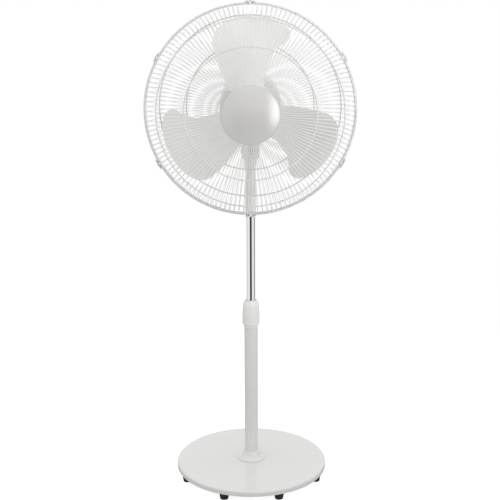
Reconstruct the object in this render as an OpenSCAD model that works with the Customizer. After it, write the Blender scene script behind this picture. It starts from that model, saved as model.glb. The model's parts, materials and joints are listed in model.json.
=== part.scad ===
// Pedestal fan: round weighted base, telescopic pole, tilting and oscillating head.
// Origin on the floor at the pole's axis, +Z up, the head blows towards -Y.

/* [Base] */
// Radius of the round base
base_r = 194; // [165:1:235]
// Height of the base's rim
rim_h = 14; // [12:0.5:20]
// Sheet thickness of the base cover
base_wall = 1.5; // [1:0.1:2]
// Rise of the cover from its rim to its centre
crown = 3; // [1:0.5:8]
// Thickness of the ballast plate
ballast_t = 9; // [6:0.5:9.5]
// Number of feet
feet = 8; // [4:1:12]
// Height of a foot
foot_h = 18; // [15:1:24]
// Radius of a foot where it meets the base
foot_top_r = 13; // [9:0.5:16]
// Radius of a foot on the floor
foot_floor_r = 10; // [6:0.5:12]

/* [Stand] */
// Outer radius of the lower tube
tube_r = 17.5; // [16:0.1:21]
// Wall of the lower tube
tube_wall = 1.5; // [1:0.1:2]
// Length of the lower tube
tube_len = 412; // [340:1:490]
// Outer radius of the chrome pole
pole_r = 11.2; // [9:0.1:12]
// Wall of the chrome pole
pole_wall = 1.2; // [0.8:0.1:2]
// Length of pole that shows between the collar and the neck
pole_out = 223; // [205:1:270]
// Outer radius of the height collar
collar_r = 22.3; // [22:0.1:27]
// Length of the flange around the foot of the tube
flange_h = 22; // [16:1:30]
// Radius of the flange on the base
flange_r = 36; // [28:1:45]

/* [Neck] */
// Height of the neck from its lower end to the floor of its fork
neck_len = 155; // [130:1:186]
// Width across the fork
fork_w = 45; // [40:0.2:50]
// Width of the knuckle's tongue
tongue_w = 25; // [22:0.5:26]
// Radius of the fork's cheeks about the tilt bolt
cheek_r = 16.5; // [15:0.5:18]
// Radius of the neck where it is narrowest
neck_top_r = 12.5; // [12.5:0.1:16]
// Radius of the neck at its lower end
neck_low_r = 13.6; // [13.5:0.1:18]
// Distance of the oscillation axis behind the tilt bolt
pan_back = 20; // [18:0.5:22]
// Radius of the oscillation shaft
pan_r = 5; // [4:0.5:6]

/* [Motor head] */
// Height of the motor's axis above the tilt bolt
head_up = 101; // [98:1:110]
// Outer radius of the motor housing
motor_r = 74; // [72:0.5:80]
// Wall of the motor housing
housing_wall = 2; // [1.5:0.1:2.5]
// Length of the motor housing from front face to back face
motor_len = 132.6; // [130:0.1:150]
// Radius of the motor's shaft
shaft_r = 4; // [3:0.5:5]
// Radius of the stator core
stator_r = 44; // [40:0.5:46]
// Length of the stator core
stack = 26; // [20:1:30]
// Height of the speed dial above the motor's axis
switch_z = 18; // [16:1:24]
// Depth of the cable gland below the motor's axis
gland_drop = 34; // [30:1:40]
// Width of a vent slot
vent_w = 4; // [3:0.5:5]
// Number of vent slots in each side of the rear cover
vents = 6; // [4:1:6]

/* [Oscillator] */
// Radius at which the link is pinned to the knuckle
lug_r = 20; // [18:0.5:21]
// Radius of the crank pin
crank_r = 12.5; // [10:0.5:13]
// Distance of the crank's axis behind the oscillation axis
crank_back = 42; // [40:0.5:44]
// Radius of the linkage's two pins
link_pin_r = 2.5; // [2:0.1:2.6]

/* [Blade] */
// Tip radius of the blade
blade_r = 216; // [190:1:226]
// Radius of the blade's hub
hub_r = 52; // [45:0.5:56]
// Depth of the blade's hub
hub_len = 50; // [44:1:56]
// Thickness of a blade at its root
blade_t = 3.2; // [2.4:0.1:4]

/* [Guards] */
// Outer radius of the guards
guard_r = 248; // [240:1:285]
// Depth of the front guard ahead of its rim
front_depth = 67; // [60:1:80]
// Depth of the rear guard behind its rim
rear_depth = 77; // [70:1:90]
// Gap between the rear guard and the fork
guard_to_fork = 20.5; // [18:0.5:30]
// Number of radial wires in each guard
wires = 132; // [66:66:132]
// Radius of a radial wire
wire_r = 0.85; // [0.6:0.05:1.3]
// Radius of a ring's wire
ring_r = 1.6; // [1.2:0.1:2]
// Radius of a rim's wire
rim_r = 3; // [2.4:0.1:3.4]
// Radius of the inner ring
ring_1 = 152.6; // [140:1:160]
// Radius of the outer ring
ring_2 = 216.7; // [205:1:220]
// Radius of the badge cap
cap_r = 67.7; // [64:0.1:75]
// Height of the badge cap's dome
cap_h = 11.5; // [8:0.5:16]
// Width of a rim clip
clip_w = 24; // [16:1:30]
// Width of a rim clip's finger
finger_w = 7; // [5:0.5:10]

/* [Hidden] */
$fn = 64;

slip = 0.1;        // radial clearance of a sliding fit
fit = 0.05;        // radial clearance of a fixed fit
air = 0.4;         // clearance between pieces that never touch
weld = 0.2;        // depth to which wires sink into what they are welded to

white = [0.86, 0.86, 0.85];
pale = [0.80, 0.80, 0.79];
black = [0.06, 0.06, 0.06];
steel = [0.66, 0.67, 0.68];
bright = [0.85, 0.86, 0.88];
bronze = [0.70, 0.52, 0.30];
copper = [0.72, 0.40, 0.22];
cast = [0.55, 0.56, 0.57];

// heights of the stand
base_rim_z = foot_h + rim_h;
base_top_z = base_rim_z + crown;
flat_r = flange_r + 4;
plate_t = 1.2;
foot_r = base_r - foot_top_r - base_wall - 0.5;
stud_r = 4;
bolt_r = 5;
tube_z = base_top_z;
tube_top = tube_z + tube_len;
bore_r = tube_r - tube_wall;
lip_z = tube_top - 50;
grip_h = 10.5;
collar_top = tube_top + 21;
neck_z = collar_top + pole_out;
socket = 70;
pole_len = socket - 1 + pole_out + 131;
pole_z = neck_z + socket - 1 - pole_len;
fork_z = neck_z + neck_len;

// the tilt bolt, the oscillation axis and the head
pin_z = fork_z + cheek_r + 1.5;
tilt_r = 4;
slot_w = tongue_w + 1;
knuckle_z = pin_z + cheek_r + 2;
knuckle_t = 4;
knuckle_top = knuckle_z + knuckle_t;
link_z = knuckle_top + 0.6;
link_t = 2.5;
boss_z = link_z + link_t + 1;
head_z = pin_z + head_up;
crank_y = pan_back + crank_back;

// the linkage in its middle position, seen from above
reach = sqrt(lug_r * lug_r + crank_back * crank_back);
crank_pin = [crank_r * crank_back / reach, crank_y + crank_r * lug_r / reach];
open_play = 3.4;   // free play of the link's eye around the crank pin

// places along the motor's axis
ring_y = pan_back - guard_to_fork - rear_depth - 40.5;
wire_y = ring_y + rear_depth + rim_r + 0.2;
guard_plate_y = wire_y + wire_r - weld;
guard_plate_t = 1.4;
shroud_y = guard_plate_y + guard_plate_t;
back_y = shroud_y + motor_len;
split_y = shroud_y + 45;
dome_len = 42;
cover_y = back_y - dome_len;
stack_y = shroud_y + 25.6;
case_y = stack_y + stack + 28;
case_len = 36;
case_x = [-17, 28];
case_z = [-53, 24];
wheel_x = 14.5;
worm_r = shaft_r + 0.6;
bearing_r = shaft_r + 3;
spindle_r = 2;
stem_r = 3;
stem_z = 20;       // lower end of the pull knob's stem above the motor's axis
pull = 7;          // travel of the pull knob
wheel_y = case_y + 23;
plane_y = ring_y + 8;
hub_y = plane_y - 30;
shaft_y = hub_y - 16;

// the guards' wires: straight, one bend, straight to the rim
mid_r = guard_r - rim_r;
start_r = cap_r - 7;
fall = 4;          // slope of the face in degrees
lean = 10;         // slope of the side wall in degrees
bend_r = 50;
bulge = 0.04;
lap = 0.6;

function face_h(depth, r) = depth - (r - start_r) * tan(fall);
function corner(depth) = let (h = (depth - (mid_r - start_r) * tan(fall)) / (1 - tan(lean) * tan(fall)))
    [mid_r - h * tan(lean), h];
tangent = bend_r * tan((90 - lean - fall) / 2);
function bend_start(depth) = corner(depth) + tangent * [-cos(fall), sin(fall)];
function bend_mid(depth) = bend_start(depth) - bend_r * [sin(fall), cos(fall)];
function bend_end(depth) = bend_mid(depth) + bend_r * [cos(lean), sin(lean)];
function arc(cx, cy, r, a, b, n = 12) = [for (i = [0:n]) [cx + r * cos(a + (b - a) * i / n),
                                                         cy + r * sin(a + (b - a) * i / n)]];

// a ring or a tube about the stand's axis
module ring(outer, inner, low, high) {
    translate([0, 0, low]) difference() {
        cylinder(r = outer, h = high - low);
        translate([0, 0, -1]) cylinder(r = inner, h = high - low + 2);
    }
}

// a profile of [radius, y] turned about the motor's axis
module turned(profile) {
    translate([0, 0, head_z]) rotate([-90, 0, 0]) rotate_extrude($fn = 96) polygon(profile);
}

// a rod along Y, at x and z from the motor's axis
module rod(r, front, back, x = 0, z = 0) {
    translate([x, front, head_z + z]) rotate([-90, 0, 0]) cylinder(r = r, h = back - front);
}

module tube_y(outer, inner, front, back, x = 0, z = 0) {
    difference() {
        rod(outer, front, back, x, z);
        rod(inner, front - 1, back + 1, x, z);
    }
}

module rod_x(r, left, right, y, z) {
    translate([left, y, z]) rotate([0, 90, 0]) cylinder(r = r, h = right - left);
}

module box(low, high) {
    translate(low) cube(high - low);
}

// ---- stand ----

module base_cover() color(white) difference() {
    rotate_extrude($fn = 128) polygon(concat(
        [[bolt_r + 0.3, base_top_z], [bolt_r + 0.3, base_top_z - base_wall],
         [flat_r, base_top_z - base_wall], [base_r - 5, base_rim_z - base_wall - 0.2]],
        arc(base_r - 5, base_rim_z - 5, 5 - base_wall, 80, 0, 6),
        [[base_r - base_wall, foot_h], [base_r, foot_h]],
        arc(base_r - 5, base_rim_z - 5, 5, 0, 88, 8),
        [[flat_r, base_top_z]]));
}

module base_plate() color(steel) difference() {
    translate([0, 0, foot_h]) cylinder(r = base_r - base_wall - air, h = plate_t, $fn = 128);
    at_feet() cylinder(r = stud_r + fit, h = 40);
    cylinder(r = bolt_r + 0.3, h = 60);
}

module ballast() color(cast) difference() {
    union() {
        translate([0, 0, foot_h + plate_t])
            cylinder(r = base_r - base_wall - 5, h = ballast_t - 1, $fn = 128);
        translate([0, 0, foot_h + plate_t])
            cylinder(r = flat_r - 4, h = base_top_z - base_wall - foot_h - plate_t);
    }
    at_feet() cylinder(r = stud_r + fit, h = 60);
    cylinder(r = bolt_r + 0.3, h = 60);
}

module at_feet() {
    for (i = [0:feet - 1]) rotate(360 / feet * (i + 0.5)) translate([foot_r, 0, 0]) children();
}

module base_feet() color(black) at_feet() {
    cylinder(r1 = foot_floor_r, r2 = foot_top_r, h = foot_h);
    cylinder(r = stud_r, h = foot_h + plate_t + 5);
}

module base_bolt() color(steel) {
    translate([0, 0, foot_h - 2]) difference() {
        cylinder(r = 20, h = 2);
        translate([0, 0, -1]) cylinder(r = bolt_r - 1, h = 4);
    }
    translate([0, 0, foot_h - 8.5]) cylinder(r = 9, h = 6.5, $fn = 6);
    translate([0, 0, foot_h - 2]) cylinder(r = bolt_r, h = crown + rim_h + 13);
}

module tube_flange() color(white) rotate_extrude() polygon([
    [tube_r + fit, tube_z], [flange_r, tube_z], [flange_r, tube_z + 2.5],
    each [for (a = [10:10:80]) [flange_r - (flange_r - tube_r - 2.2) * sin(a),
                                tube_z + flange_h - 1 - (flange_h - 3.5) * cos(a)]],
    [tube_r + 2.2, tube_z + flange_h - 1], [tube_r + 1.2, tube_z + flange_h],
    [tube_r + fit, tube_z + flange_h]]);

module lower_tube() color(white) ring(tube_r, bore_r, tube_z, tube_top);

module tube_plug() color(steel) ring(bore_r - fit, bolt_r + fit, tube_z, tube_z + 14);

module guide_bush() color(pale) {
    ring(bore_r - fit, pole_r + slip, tube_top - 30, tube_top);
    ring(tube_r - 0.2, pole_r + slip, tube_top, tube_top + 1.5);
}

// split cone that the collar closes on the pole
module grip_ring() color(pale) translate([0, 0, tube_top + 1.5]) difference() {
    cylinder(r1 = tube_r - 1.1, r2 = pole_r + 1.2, h = grip_h);
    translate([0, 0, -1]) cylinder(r = pole_r + slip, h = grip_h + 2);
    translate([0, -1, -1]) cube([tube_r + 5, 2, grip_h + 2]);
}

module height_collar() color(white) rotate_extrude($fn = 96) polygon([
    [tube_r + 0.3, lip_z], [tube_r + 1.2, lip_z], [tube_r + 1.2, lip_z + 7], [collar_r, lip_z + 8.5],
    [collar_r, lip_z + 38], [collar_r - 1.5, collar_top - 11.5], [pole_r + 4.8, collar_top - 2],
    [pole_r + 3.8, collar_top], [pole_r + air, collar_top], [pole_r + air, collar_top - 6],
    [pole_r + 2, collar_top - 7.5], [tube_r + 0.3, tube_top + 2.6]]);

module chrome_pole() color(bright) ring(pole_r, pole_r - pole_wall, pole_z, pole_z + pole_len);

module pole_slider() color(pale) {
    ring(bore_r - slip, pole_r + fit, pole_z - 4, pole_z + 35);
    ring(bore_r - slip, pole_r - pole_wall - 2, pole_z - 6, pole_z - 4);
}

// ---- neck and tilt joint ----

module neck() color(white) difference() {
    union() {
        rotate_extrude() polygon([[0, neck_z], [neck_low_r + 1.2, neck_z], [neck_low_r + 1.5, neck_z + 1],
            [neck_low_r + 1.5, neck_z + 5], [neck_low_r, neck_z + 7], [neck_low_r, neck_z + 14],
            [neck_top_r + 0.3, neck_z + 40], [neck_top_r, neck_z + 60], [neck_top_r, fork_z - 58],
            [neck_top_r + 1, fork_z - 40], [cheek_r - 0.3, fork_z - 11], [0, fork_z - 11]]);
        hull() {
            translate([0, 0, fork_z - 11.1]) cylinder(r = cheek_r - 0.3, h = 0.1, $fn = 32);
            fork_foot(fork_z - 4, 0.1);
        }
        fork_foot(fork_z - 4, 4);
        rod_x(cheek_r, -fork_w / 2, fork_w / 2, 0, pin_z);
        box([-fork_w / 2, -cheek_r, fork_z - 1], [fork_w / 2, cheek_r, pin_z]);
    }
    translate([-slot_w / 2, 0, 0]) rotate([90, 0, 90]) linear_extrude(slot_w)
        polygon([[-40, fork_z], [2, fork_z], [60, fork_z - 31], [60, pin_z + 40], [-40, pin_z + 40]]);
    translate([0, 0, neck_z - 1]) cylinder(r = pole_r + fit, h = socket + 1);
    translate([0, pole_r - 1, neck_z + 16]) rotate([-90, 0, 0]) cylinder(r = 2.5 + fit, h = 20);
    rod_x(tilt_r + fit, -40, 40, 0, pin_z);
    rod_x(7.4, -40, -fork_w / 2 + 4.4, 0, pin_z);
    rod_x(7.4, fork_w / 2 - 4.4, 40, 0, pin_z);
}

module fork_foot(low, h) {
    corner_r = 5;
    hull() for (x = [-1, 1], y = [-cheek_r + corner_r, 19])
        translate([x * (fork_w / 2 - corner_r), y, low]) cylinder(r = corner_r, h = h, $fn = 32);
}

module neck_screw() color(steel) translate([0, pole_r, neck_z + 16]) rotate([-90, 0, 0])
    cylinder(r = 2.5, h = 4.2);

module tilt_bolt() color(steel) {
    translate([-fork_w / 2, 0, pin_z]) rotate([0, 90, 0]) cylinder(r = 6.5, h = 4.2, $fn = 6);
    rod_x(tilt_r, -fork_w / 2 + 4, fork_w / 2, 0, pin_z);
}

module tilt_nut() color(steel) difference() {
    translate([fork_w / 2 - 4.3, 0, pin_z]) rotate([0, 90, 0]) cylinder(r = 6.5, h = 4, $fn = 6);
    rod_x(tilt_r + fit, 0, 40, 0, pin_z);
}

module tilt_knuckle() color(white) difference() {
    union() {
        rod_x(cheek_r, -tongue_w / 2, tongue_w / 2, 0, pin_z);
        box([-tongue_w / 2, -12, pin_z], [tongue_w / 2, pan_back + 12, knuckle_z + 1]);
        at_pan() cylinder(r = tongue_w / 2, h = knuckle_z - pin_z + 9);
        translate([0, pan_back, knuckle_z]) cylinder(r = lug_r + 6, h = knuckle_t);
        translate([lug_r, pan_back, knuckle_z]) cylinder(r = link_pin_r, h = boss_z - knuckle_z - 0.4);
    }
    rod_x(tilt_r + slip, -40, 40, 0, pin_z);
    at_pan() translate([0, 0, -1]) cylinder(r = pan_r + 2 + fit, h = 60);
    at_pan() translate([0, 0, -6]) cylinder(r = pan_r + 3, h = 6);
}

// the oscillation axis, from the lower end of the knuckle's boss
module at_pan() translate([0, pan_back, pin_z - 8]) children();

module pan_bush() color(bronze) at_pan() ring(pan_r + 2, pan_r + fit, 0, knuckle_top - pin_z + 8);

module thrust_spacer() color(bronze) translate([0, pan_back, 0])
    ring(pan_r + 2, pan_r + fit, knuckle_top, boss_z);

module pan_shaft() color(steel) translate([0, pan_back, 0]) {
    translate([0, 0, pin_z - 8]) cylinder(r = pan_r, h = boss_z + 18 - pin_z + 8);
    translate([0, 0, pin_z - 10.4]) cylinder(r = pan_r + 2.5, h = 2.3);
}

// ---- gearbox and oscillator ----

module gearbox_case() color(cast) difference() {
    wall = 2.5;
    low = [case_x[0], case_y, head_z + case_z[0]];
    high = [case_x[1], case_y + case_len, head_z + case_z[1]];
    union() {
        box(low, high);
        box([-9, pan_back, boss_z + 4], [9, case_y + 1, boss_z + 19]);
        box([-9, case_y, boss_z + 4], [9, crank_y + 9, low[2] + 1]);
        translate([0, pan_back, boss_z]) cylinder(r = 10, h = 20);
        translate([0, crank_y, boss_z + 4]) cylinder(r = 9, h = 12);
    }
    box(low + [wall, wall, wall], high - [wall, wall, wall]);
    translate([0, pan_back, 0]) cylinder(r = pan_r + fit, h = boss_z + 18.2);
    translate([0, crank_y, 0]) cylinder(r = 3.6, h = low[2] + 10);
    translate([wheel_x, wheel_y, head_z]) cylinder(r = stem_r + 2 * slip, h = 60);
    translate([wheel_x, wheel_y, low[2] - 1]) cylinder(r = spindle_r + slip, h = wall + 2);
    rod(shaft_r + 1, case_y - 5, case_y + 5);
}

module teeth(count, tip_r, root_r, h) {
    difference() {
        cylinder(r = tip_r, h = h);
        for (i = [0:count - 1]) rotate(360 / count * i) translate([root_r, -0.22 * tip_r * PI / count, -1])
            cube([tip_r, 0.9 * tip_r * PI / count, h + 2]);
    }
}

// worm wheel and the pinion below it on one spindle
module worm_wheel() color(bronze) translate([wheel_x, wheel_y, 0]) {
    translate([0, 0, head_z - 4]) teeth(24, wheel_x - worm_r - 0.3, 7.4, 8);
    translate([0, 0, head_z + case_z[0] + 0.5])
        cylinder(r = spindle_r, h = stem_z - pull - 2 - case_z[0] - 0.5);
    translate([0, 0, head_z - 46]) teeth(10, 4.4, 3, 8);
}
// crank pin's disc, its spindle and the gear that the pinion drives
module crank_disc() color(steel) {
    translate([0, crank_y, boss_z]) cylinder(r = crank_r + 4, h = 3);
    translate([crank_pin[0], crank_pin[1], link_z - 0.2]) cylinder(r = link_pin_r, h = 2);
    translate([crank_pin[0], crank_pin[1], link_z]) cylinder(r = link_pin_r, h = boss_z - link_z + 1);
    translate([0, crank_y, boss_z]) cylinder(r = 3.5, h = head_z - 38 - boss_z);
    translate([0, crank_y, head_z - 46]) teeth(24, 10.4, 9, 8);
}

module link_arm() color(steel) {
    arm = crank_pin - [lug_r, pan_back];
    eye_r = link_pin_r + open_play;
    translate([lug_r, pan_back, link_z]) rotate(atan2(arm[1], arm[0])) linear_extrude(link_t) difference() {
        union() {
            circle(r = link_pin_r + 3);
            translate([norm(arm), 0]) circle(r = eye_r + 2.5);
            translate([0, -3.5]) square([norm(arm), 7]);
        }
        circle(r = link_pin_r + slip);
        translate([norm(arm), 0]) circle(r = eye_r);
    }
}

module osc_knob() color(white) translate([wheel_x, wheel_y, head_z]) {
    translate([0, 0, stem_z]) cylinder(r = stem_r, h = motor_r + 10 - stem_z);
    translate([0, 0, motor_r + 9]) cylinder(r1 = 8.5, r2 = 7.5, h = 16);
}

// ---- motor ----

// bearing bracket: a cup that is open towards the stator
module bracket(front, back, open_front) {
    skin = 2.5;
    low = open_front ? front - 1 : front + skin;
    high = open_front ? back - skin : back + 1;
    difference() {
        turned([[8, front], [stator_r + 3, front], [stator_r + 3, back], [8, back]]);
        turned([[shaft_r + 7, low], [stator_r, low], [stator_r, high], [shaft_r + 7, high]]);
        at_bolts() rod(2.2, front - 1, back + 1);
        for (i = [0:5]) translate([0, 0, head_z]) rotate([0, 60 * i, 0]) translate([0, 0, -head_z])
            rod(6, front - 1, back + 1, 26, 0);
    }
    tube_y(8.2, bearing_r + fit, front, back);
}

module at_bolts() {
    for (i = [0:3]) translate([0, 0, head_z]) rotate([0, 45 + 90 * i, 0]) translate([stator_r - 4, 0, -head_z])
        children();
}

module motor_front_bracket() color(cast) bracket(stack_y - 16, stack_y, false);

module motor_rear_bracket() color(cast) bracket(stack_y + stack, stack_y + stack + 16, true);

module shaft_bearings() color(bronze) for (y = [stack_y - 16, stack_y + stack + 4])
    tube_y(bearing_r, shaft_r + fit, y, y + 12);

module stator_core() color(steel) difference() {
    rod(stator_r + 3, stack_y, stack_y + stack);
    rod(24, stack_y - 1, stack_y + stack + 1);
    for (i = [0:15]) translate([0, 0, head_z]) rotate([0, 22.5 * i, 0]) translate([30, stack_y - 1, -2.5])
        cube([6, stack + 2, 5]);
    at_bolts() rod(2.2, stack_y - 1, stack_y + stack + 1);
}

module stator_coils() color(copper) for (y = [stack_y - 10, stack_y + stack])
    tube_y(36, 26, y, y + 10);

module motor_bolts() color(steel) at_bolts() {
    rod(2, stack_y - 18, stack_y + stack + 19);
    rod(3.5, stack_y - 19, stack_y - 16);
    rod(3.5, stack_y + stack + 16, stack_y + stack + 19);
}

module rotor_cage() color(steel) tube_y(23.6, shaft_r + fit, stack_y + air, stack_y + stack - air);

// shaft with a flat for the blade's pin in front and the worm's body behind
module motor_shaft() color(steel) difference() {
    union() {
        rod(shaft_r, shaft_y, case_y + 12);
        rod(worm_r, case_y + 12, case_y + case_len - 3.5);
    }
    for (i = [0:5]) tube_y(10, worm_r - 0.8, case_y + 14 + 2.4 * i, case_y + 15.2 + 2.4 * i);
    rod(1.5, case_y + case_len - 5, case_y + case_len);
    translate([0, hub_y + 10, 0]) rod_x(1.5 + fit, -9, 9, 0, head_z);
}

module belly_opening() {
    box([-26, pan_back - 18, head_z - motor_r - 10], [26, crank_y + 21, head_z - motor_r + 14]);
}

module motor_shroud() color(white) difference() {
    turned(concat([[24, shroud_y - 13], [24, shroud_y]],
        [[motor_r - 6, shroud_y]], arc(motor_r - 6, shroud_y + 6, 6, 270, 360, 6),
        [[motor_r, split_y], [motor_r - housing_wall, split_y]],
        arc(motor_r - 6, shroud_y + 6, 6 - housing_wall, 360, 270, 6),
        [[21, shroud_y + housing_wall], [21, shroud_y - 11], [9, shroud_y - 11], [9, shroud_y - 13]]));
    belly_opening();
}

module rear_cover() color(white) difference() {
    turned(concat([[motor_r, split_y], [motor_r, cover_y]],
        [for (a = [8:8:88]) [motor_r - 24 + 24 * cos(a), cover_y + dome_len * sin(a)]],
        [[motor_r - 28, back_y], [0, back_y], [0, back_y - housing_wall],
         [motor_r - 28, back_y - housing_wall]],
        [for (a = [88:-8:8]) [motor_r - 24 + (24 - housing_wall) * cos(a),
                              cover_y + (dome_len - housing_wall) * sin(a)]],
        [[motor_r - housing_wall, cover_y], [motor_r - housing_wall, split_y]]));
    belly_opening();
    translate([wheel_x, wheel_y, head_z]) cylinder(r = 3.6, h = 200);
    rod(4, back_y - 10, back_y + 1, 0, switch_z);
    rod(4.6, back_y - 10, back_y + 1, 0, -gland_drop);
    for (s = [-1, 1], i = [0:vents - 1])
        translate([s * (motor_r - 2) - 6, split_y + 6 + 2 * vent_w * i, head_z - 16]) cube([12, vent_w, 32]);
    for (q = [0:3], i = [0:5]) translate([0, 0, head_z]) rotate([0, 90 * q + 20 + 10 * i, 0])
        translate([33, back_y - 10, -1.5]) cube([12, 20, 3]);
    at_cover_screws() rod(2.1, back_y - 60, back_y + 1);
}

module at_cover_screws() {
    for (s = [-1, 1]) translate([s * 36, 0, 0]) children();
}

module cover_screws() color(steel) at_cover_screws() {
    rod(2, back_y - 22, back_y + 0.1);
    rod(3.8, back_y, back_y + 2.2);
}

module speed_switch() color(black) {
    box([-14, back_y - 15, head_z + switch_z - 12],
        [14, back_y - housing_wall - 0.2, head_z + switch_z + 12]);
}

module speed_knob() color(white) {
    rod(3.4, back_y - 1.8, back_y + 1.2, 0, switch_z);
    rod(15, back_y + 1, back_y + 6, 0, switch_z);
    box([-3.5, back_y + 5, head_z + switch_z - 13.5], [3.5, back_y + 15, head_z + switch_z + 13.5]);
}

module run_capacitor() color(black) box([-62, split_y + 4, head_z - 30], [-48, split_y + 34, head_z + 4]);

module cable_gland() color(black) difference() {
    union() {
        rod(4.5, back_y - 8, back_y + 16, 0, -gland_drop);
        rod(7.5, back_y, back_y + 3, 0, -gland_drop);
        rod(6.5, back_y - housing_wall - 2.5, back_y - housing_wall, 0, -gland_drop);
    }
    rod(3.1, back_y - 20, back_y + 20, 0, -gland_drop);
}

// ---- guards: drawn with +Z away from the rim's plane ----

module front_side() translate([0, ring_y - rim_r - 0.2, head_z]) rotate([90, 0, 0]) children();

module rear_side() translate([0, ring_y + rim_r + 0.2, head_z]) rotate([-90, 0, 0]) children();

// the bend is a hair thicker than the straights, which end inside it
module guard_wires(depth) {
    p = bend_start(depth);
    m = bend_mid(depth);
    q = bend_end(depth);
    for (i = [0:wires - 1]) rotate(360 / wires * (i + 0.5)) {
        translate([start_r, 0, depth]) rotate([0, 90 + fall, 0])
            cylinder(r = wire_r, h = norm(p - [start_r, depth]) + lap, $fn = 32);
        translate([m[0], 0, m[1]]) rotate([90, 0, 0]) rotate([0, 0, lean])
            rotate_extrude(angle = 90 - lean - fall) translate([bend_r, 0])
            circle(r = wire_r + bulge, $fn = 32);
        translate([q[0], 0, q[1]]) rotate([0, 180 - lean, 0]) translate([0, 0, -lap])
            cylinder(r = wire_r, h = norm(q - [mid_r, 0]) - rim_r + weld + lap, $fn = 32);
    }
}

module wire_ring(r, h, section) {
    translate([0, 0, h]) rotate_extrude($fn = 128) translate([r, 0]) circle(r = section, $fn = 32);
}

// the two rings lie inside the wires and the rim closes their ends
module guard_rings(depth) {
    sink = wire_r + ring_r - weld;
    m = bend_mid(depth);
    turn = acos((ring_2 - m[0]) / bend_r);
    wire_ring(mid_r, 0, rim_r);
    wire_ring(ring_1 - sink * sin(fall), face_h(depth, ring_1) - sink * cos(fall), ring_r);
    wire_ring(m[0] + (bend_r - sink) * cos(turn), m[1] + (bend_r - sink) * sin(turn), ring_r);
}

module front_guard_wires() color(white) front_side() guard_wires(front_depth);

module rear_guard_wires() color(white) rear_side() guard_wires(rear_depth);

module front_guard_rings() color(white) front_side() guard_rings(front_depth);

module rear_guard_rings() color(white) rear_side() guard_rings(rear_depth);

module rear_guard_plate() color(white)
    tube_y(cap_r - 1, 24 + fit, guard_plate_y, guard_plate_y + guard_plate_t);

module guard_nut() color(white) difference() {
    tube_y(34, 24 + fit, guard_plate_y - 11, guard_plate_y);
    for (i = [0:11]) translate([0, 0, head_z]) rotate([0, 30 * i, 0]) translate([0, 0, -head_z])
        rod(3, guard_plate_y - 12, guard_plate_y - 3, 35.5, 0);
}

front_y = ring_y - rim_r - 0.2 - front_depth;

module cap_plate() color(white)
    rod(cap_r - 2, front_y + wire_r - weld, front_y + wire_r - weld + 1.2);

// domed cap over the wires' inner ends
module badge_cap() color(pale) {
    rim_y = front_y - wire_r - 0.2;
    dome = (cap_r * cap_r + cap_h * cap_h) / (2 * cap_h);
    half = asin(cap_r / dome);
    turned(concat(
        [for (i = [0:12]) [dome * sin(half * i / 12), rim_y - cap_h + dome - dome * cos(half * i / 12)]],
        [[cap_r - 2.6, rim_y]],
        [for (i = [12:-1:0]) [(dome - 2) * sin(half * i / 12) * (cap_r - 2.6) / cap_r,
            min(rim_y, rim_y - cap_h + dome - (dome - 2) * cos(half * i / 12))]]));
}

// ---- clips: each turns about the rear rim's wire ----

module guard_clip(i) color(white) translate([0, ring_y, head_z]) rotate([0, -30 - 60 * i, 0])
    translate([mid_r, rim_r + 0.2, 0]) {
        bar_in = rim_r + 0.8;
        bar_out = bar_in + 2.6;
        nose = 2 * rim_r + rim_r + 1.3;
        translate([bar_in, -nose - 2.2, -clip_w / 2]) cube([bar_out - bar_in, nose + 2.2, clip_w]);
        translate([-rim_r - 0.2, -nose - 2.2, -finger_w / 2]) cube([bar_out + rim_r + 0.2, 2.2, finger_w]);
        translate([0, 0, -finger_w / 2]) rotate_extrude(angle = 125)
            translate([bar_in, 0]) square([bar_out - bar_in, finger_w]);
    }

module guard_clip_1() guard_clip(0);
module guard_clip_2() guard_clip(1);
module guard_clip_3() guard_clip(2);
module guard_clip_4() guard_clip(3);
module guard_clip_5() guard_clip(4);
module guard_clip_6() guard_clip(5);

// ---- blade ----

// edges of a blade as [radius, degrees from its middle], root to tip
trail = [[hub_r - 6, 47], [90, 38], [140, 33], [blade_r - 24, 27]];
lead = [[hub_r - 6, -38], [85, -14], [140, -17], [blade_r - 27, -33.5]];
tip_bow = 25.5;    // how far the middle of a blade's tip stands beyond its corners
camber = 22;

function bezier(p, t) = pow(1 - t, 3) * p[0] + 3 * pow(1 - t, 2) * t * p[1]
    + 3 * (1 - t) * t * t * p[2] + pow(t, 3) * p[3];
function outline(s, u) = let (e = (1 - u) * bezier(trail, s) + u * bezier(lead, s))
    [e[0] + tip_bow * pow(s, 4) * (1 - pow(abs(2 * u - 1), 3)), e[1]];
// rounds the outer corner at [1, 1] of the unit square, from [s0, v0] on
function corner_round(s, v, s0, v0) = s < s0 || v < v0 ? [s, v]
    : let (a = (s - s0) / (1 - s0), b = (v - v0) / (1 - v0))
      [s0 + (1 - s0) * a * sqrt(1 - b * b / 2), v0 + (1 - v0) * b * sqrt(1 - a * a / 2)];
function rounded(s, u) = u > 0.5 ? corner_round(s, u, 0.87, 0.85)
    : let (c = corner_round(s, 1 - u, 0.92, 0.9)) [c[0], 1 - c[1]];
function pitch(r) = 0.75 + 0.4 * min(1, max(0, (r - 55) / 95));
function blade_y(p, u) = plane_y - pitch(p[0]) * p[1] + camber * u * (1 - u);
function blade_point(s, u, side) = let (c = rounded(s, u), p = outline(c[0], c[1]),
        t = blade_t * (1 - 0.4 * s) / 2)
    [p[0] * cos(90 + p[1]), blade_y(p, c[1]) + side * t, p[0] * sin(90 + p[1])];

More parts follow.
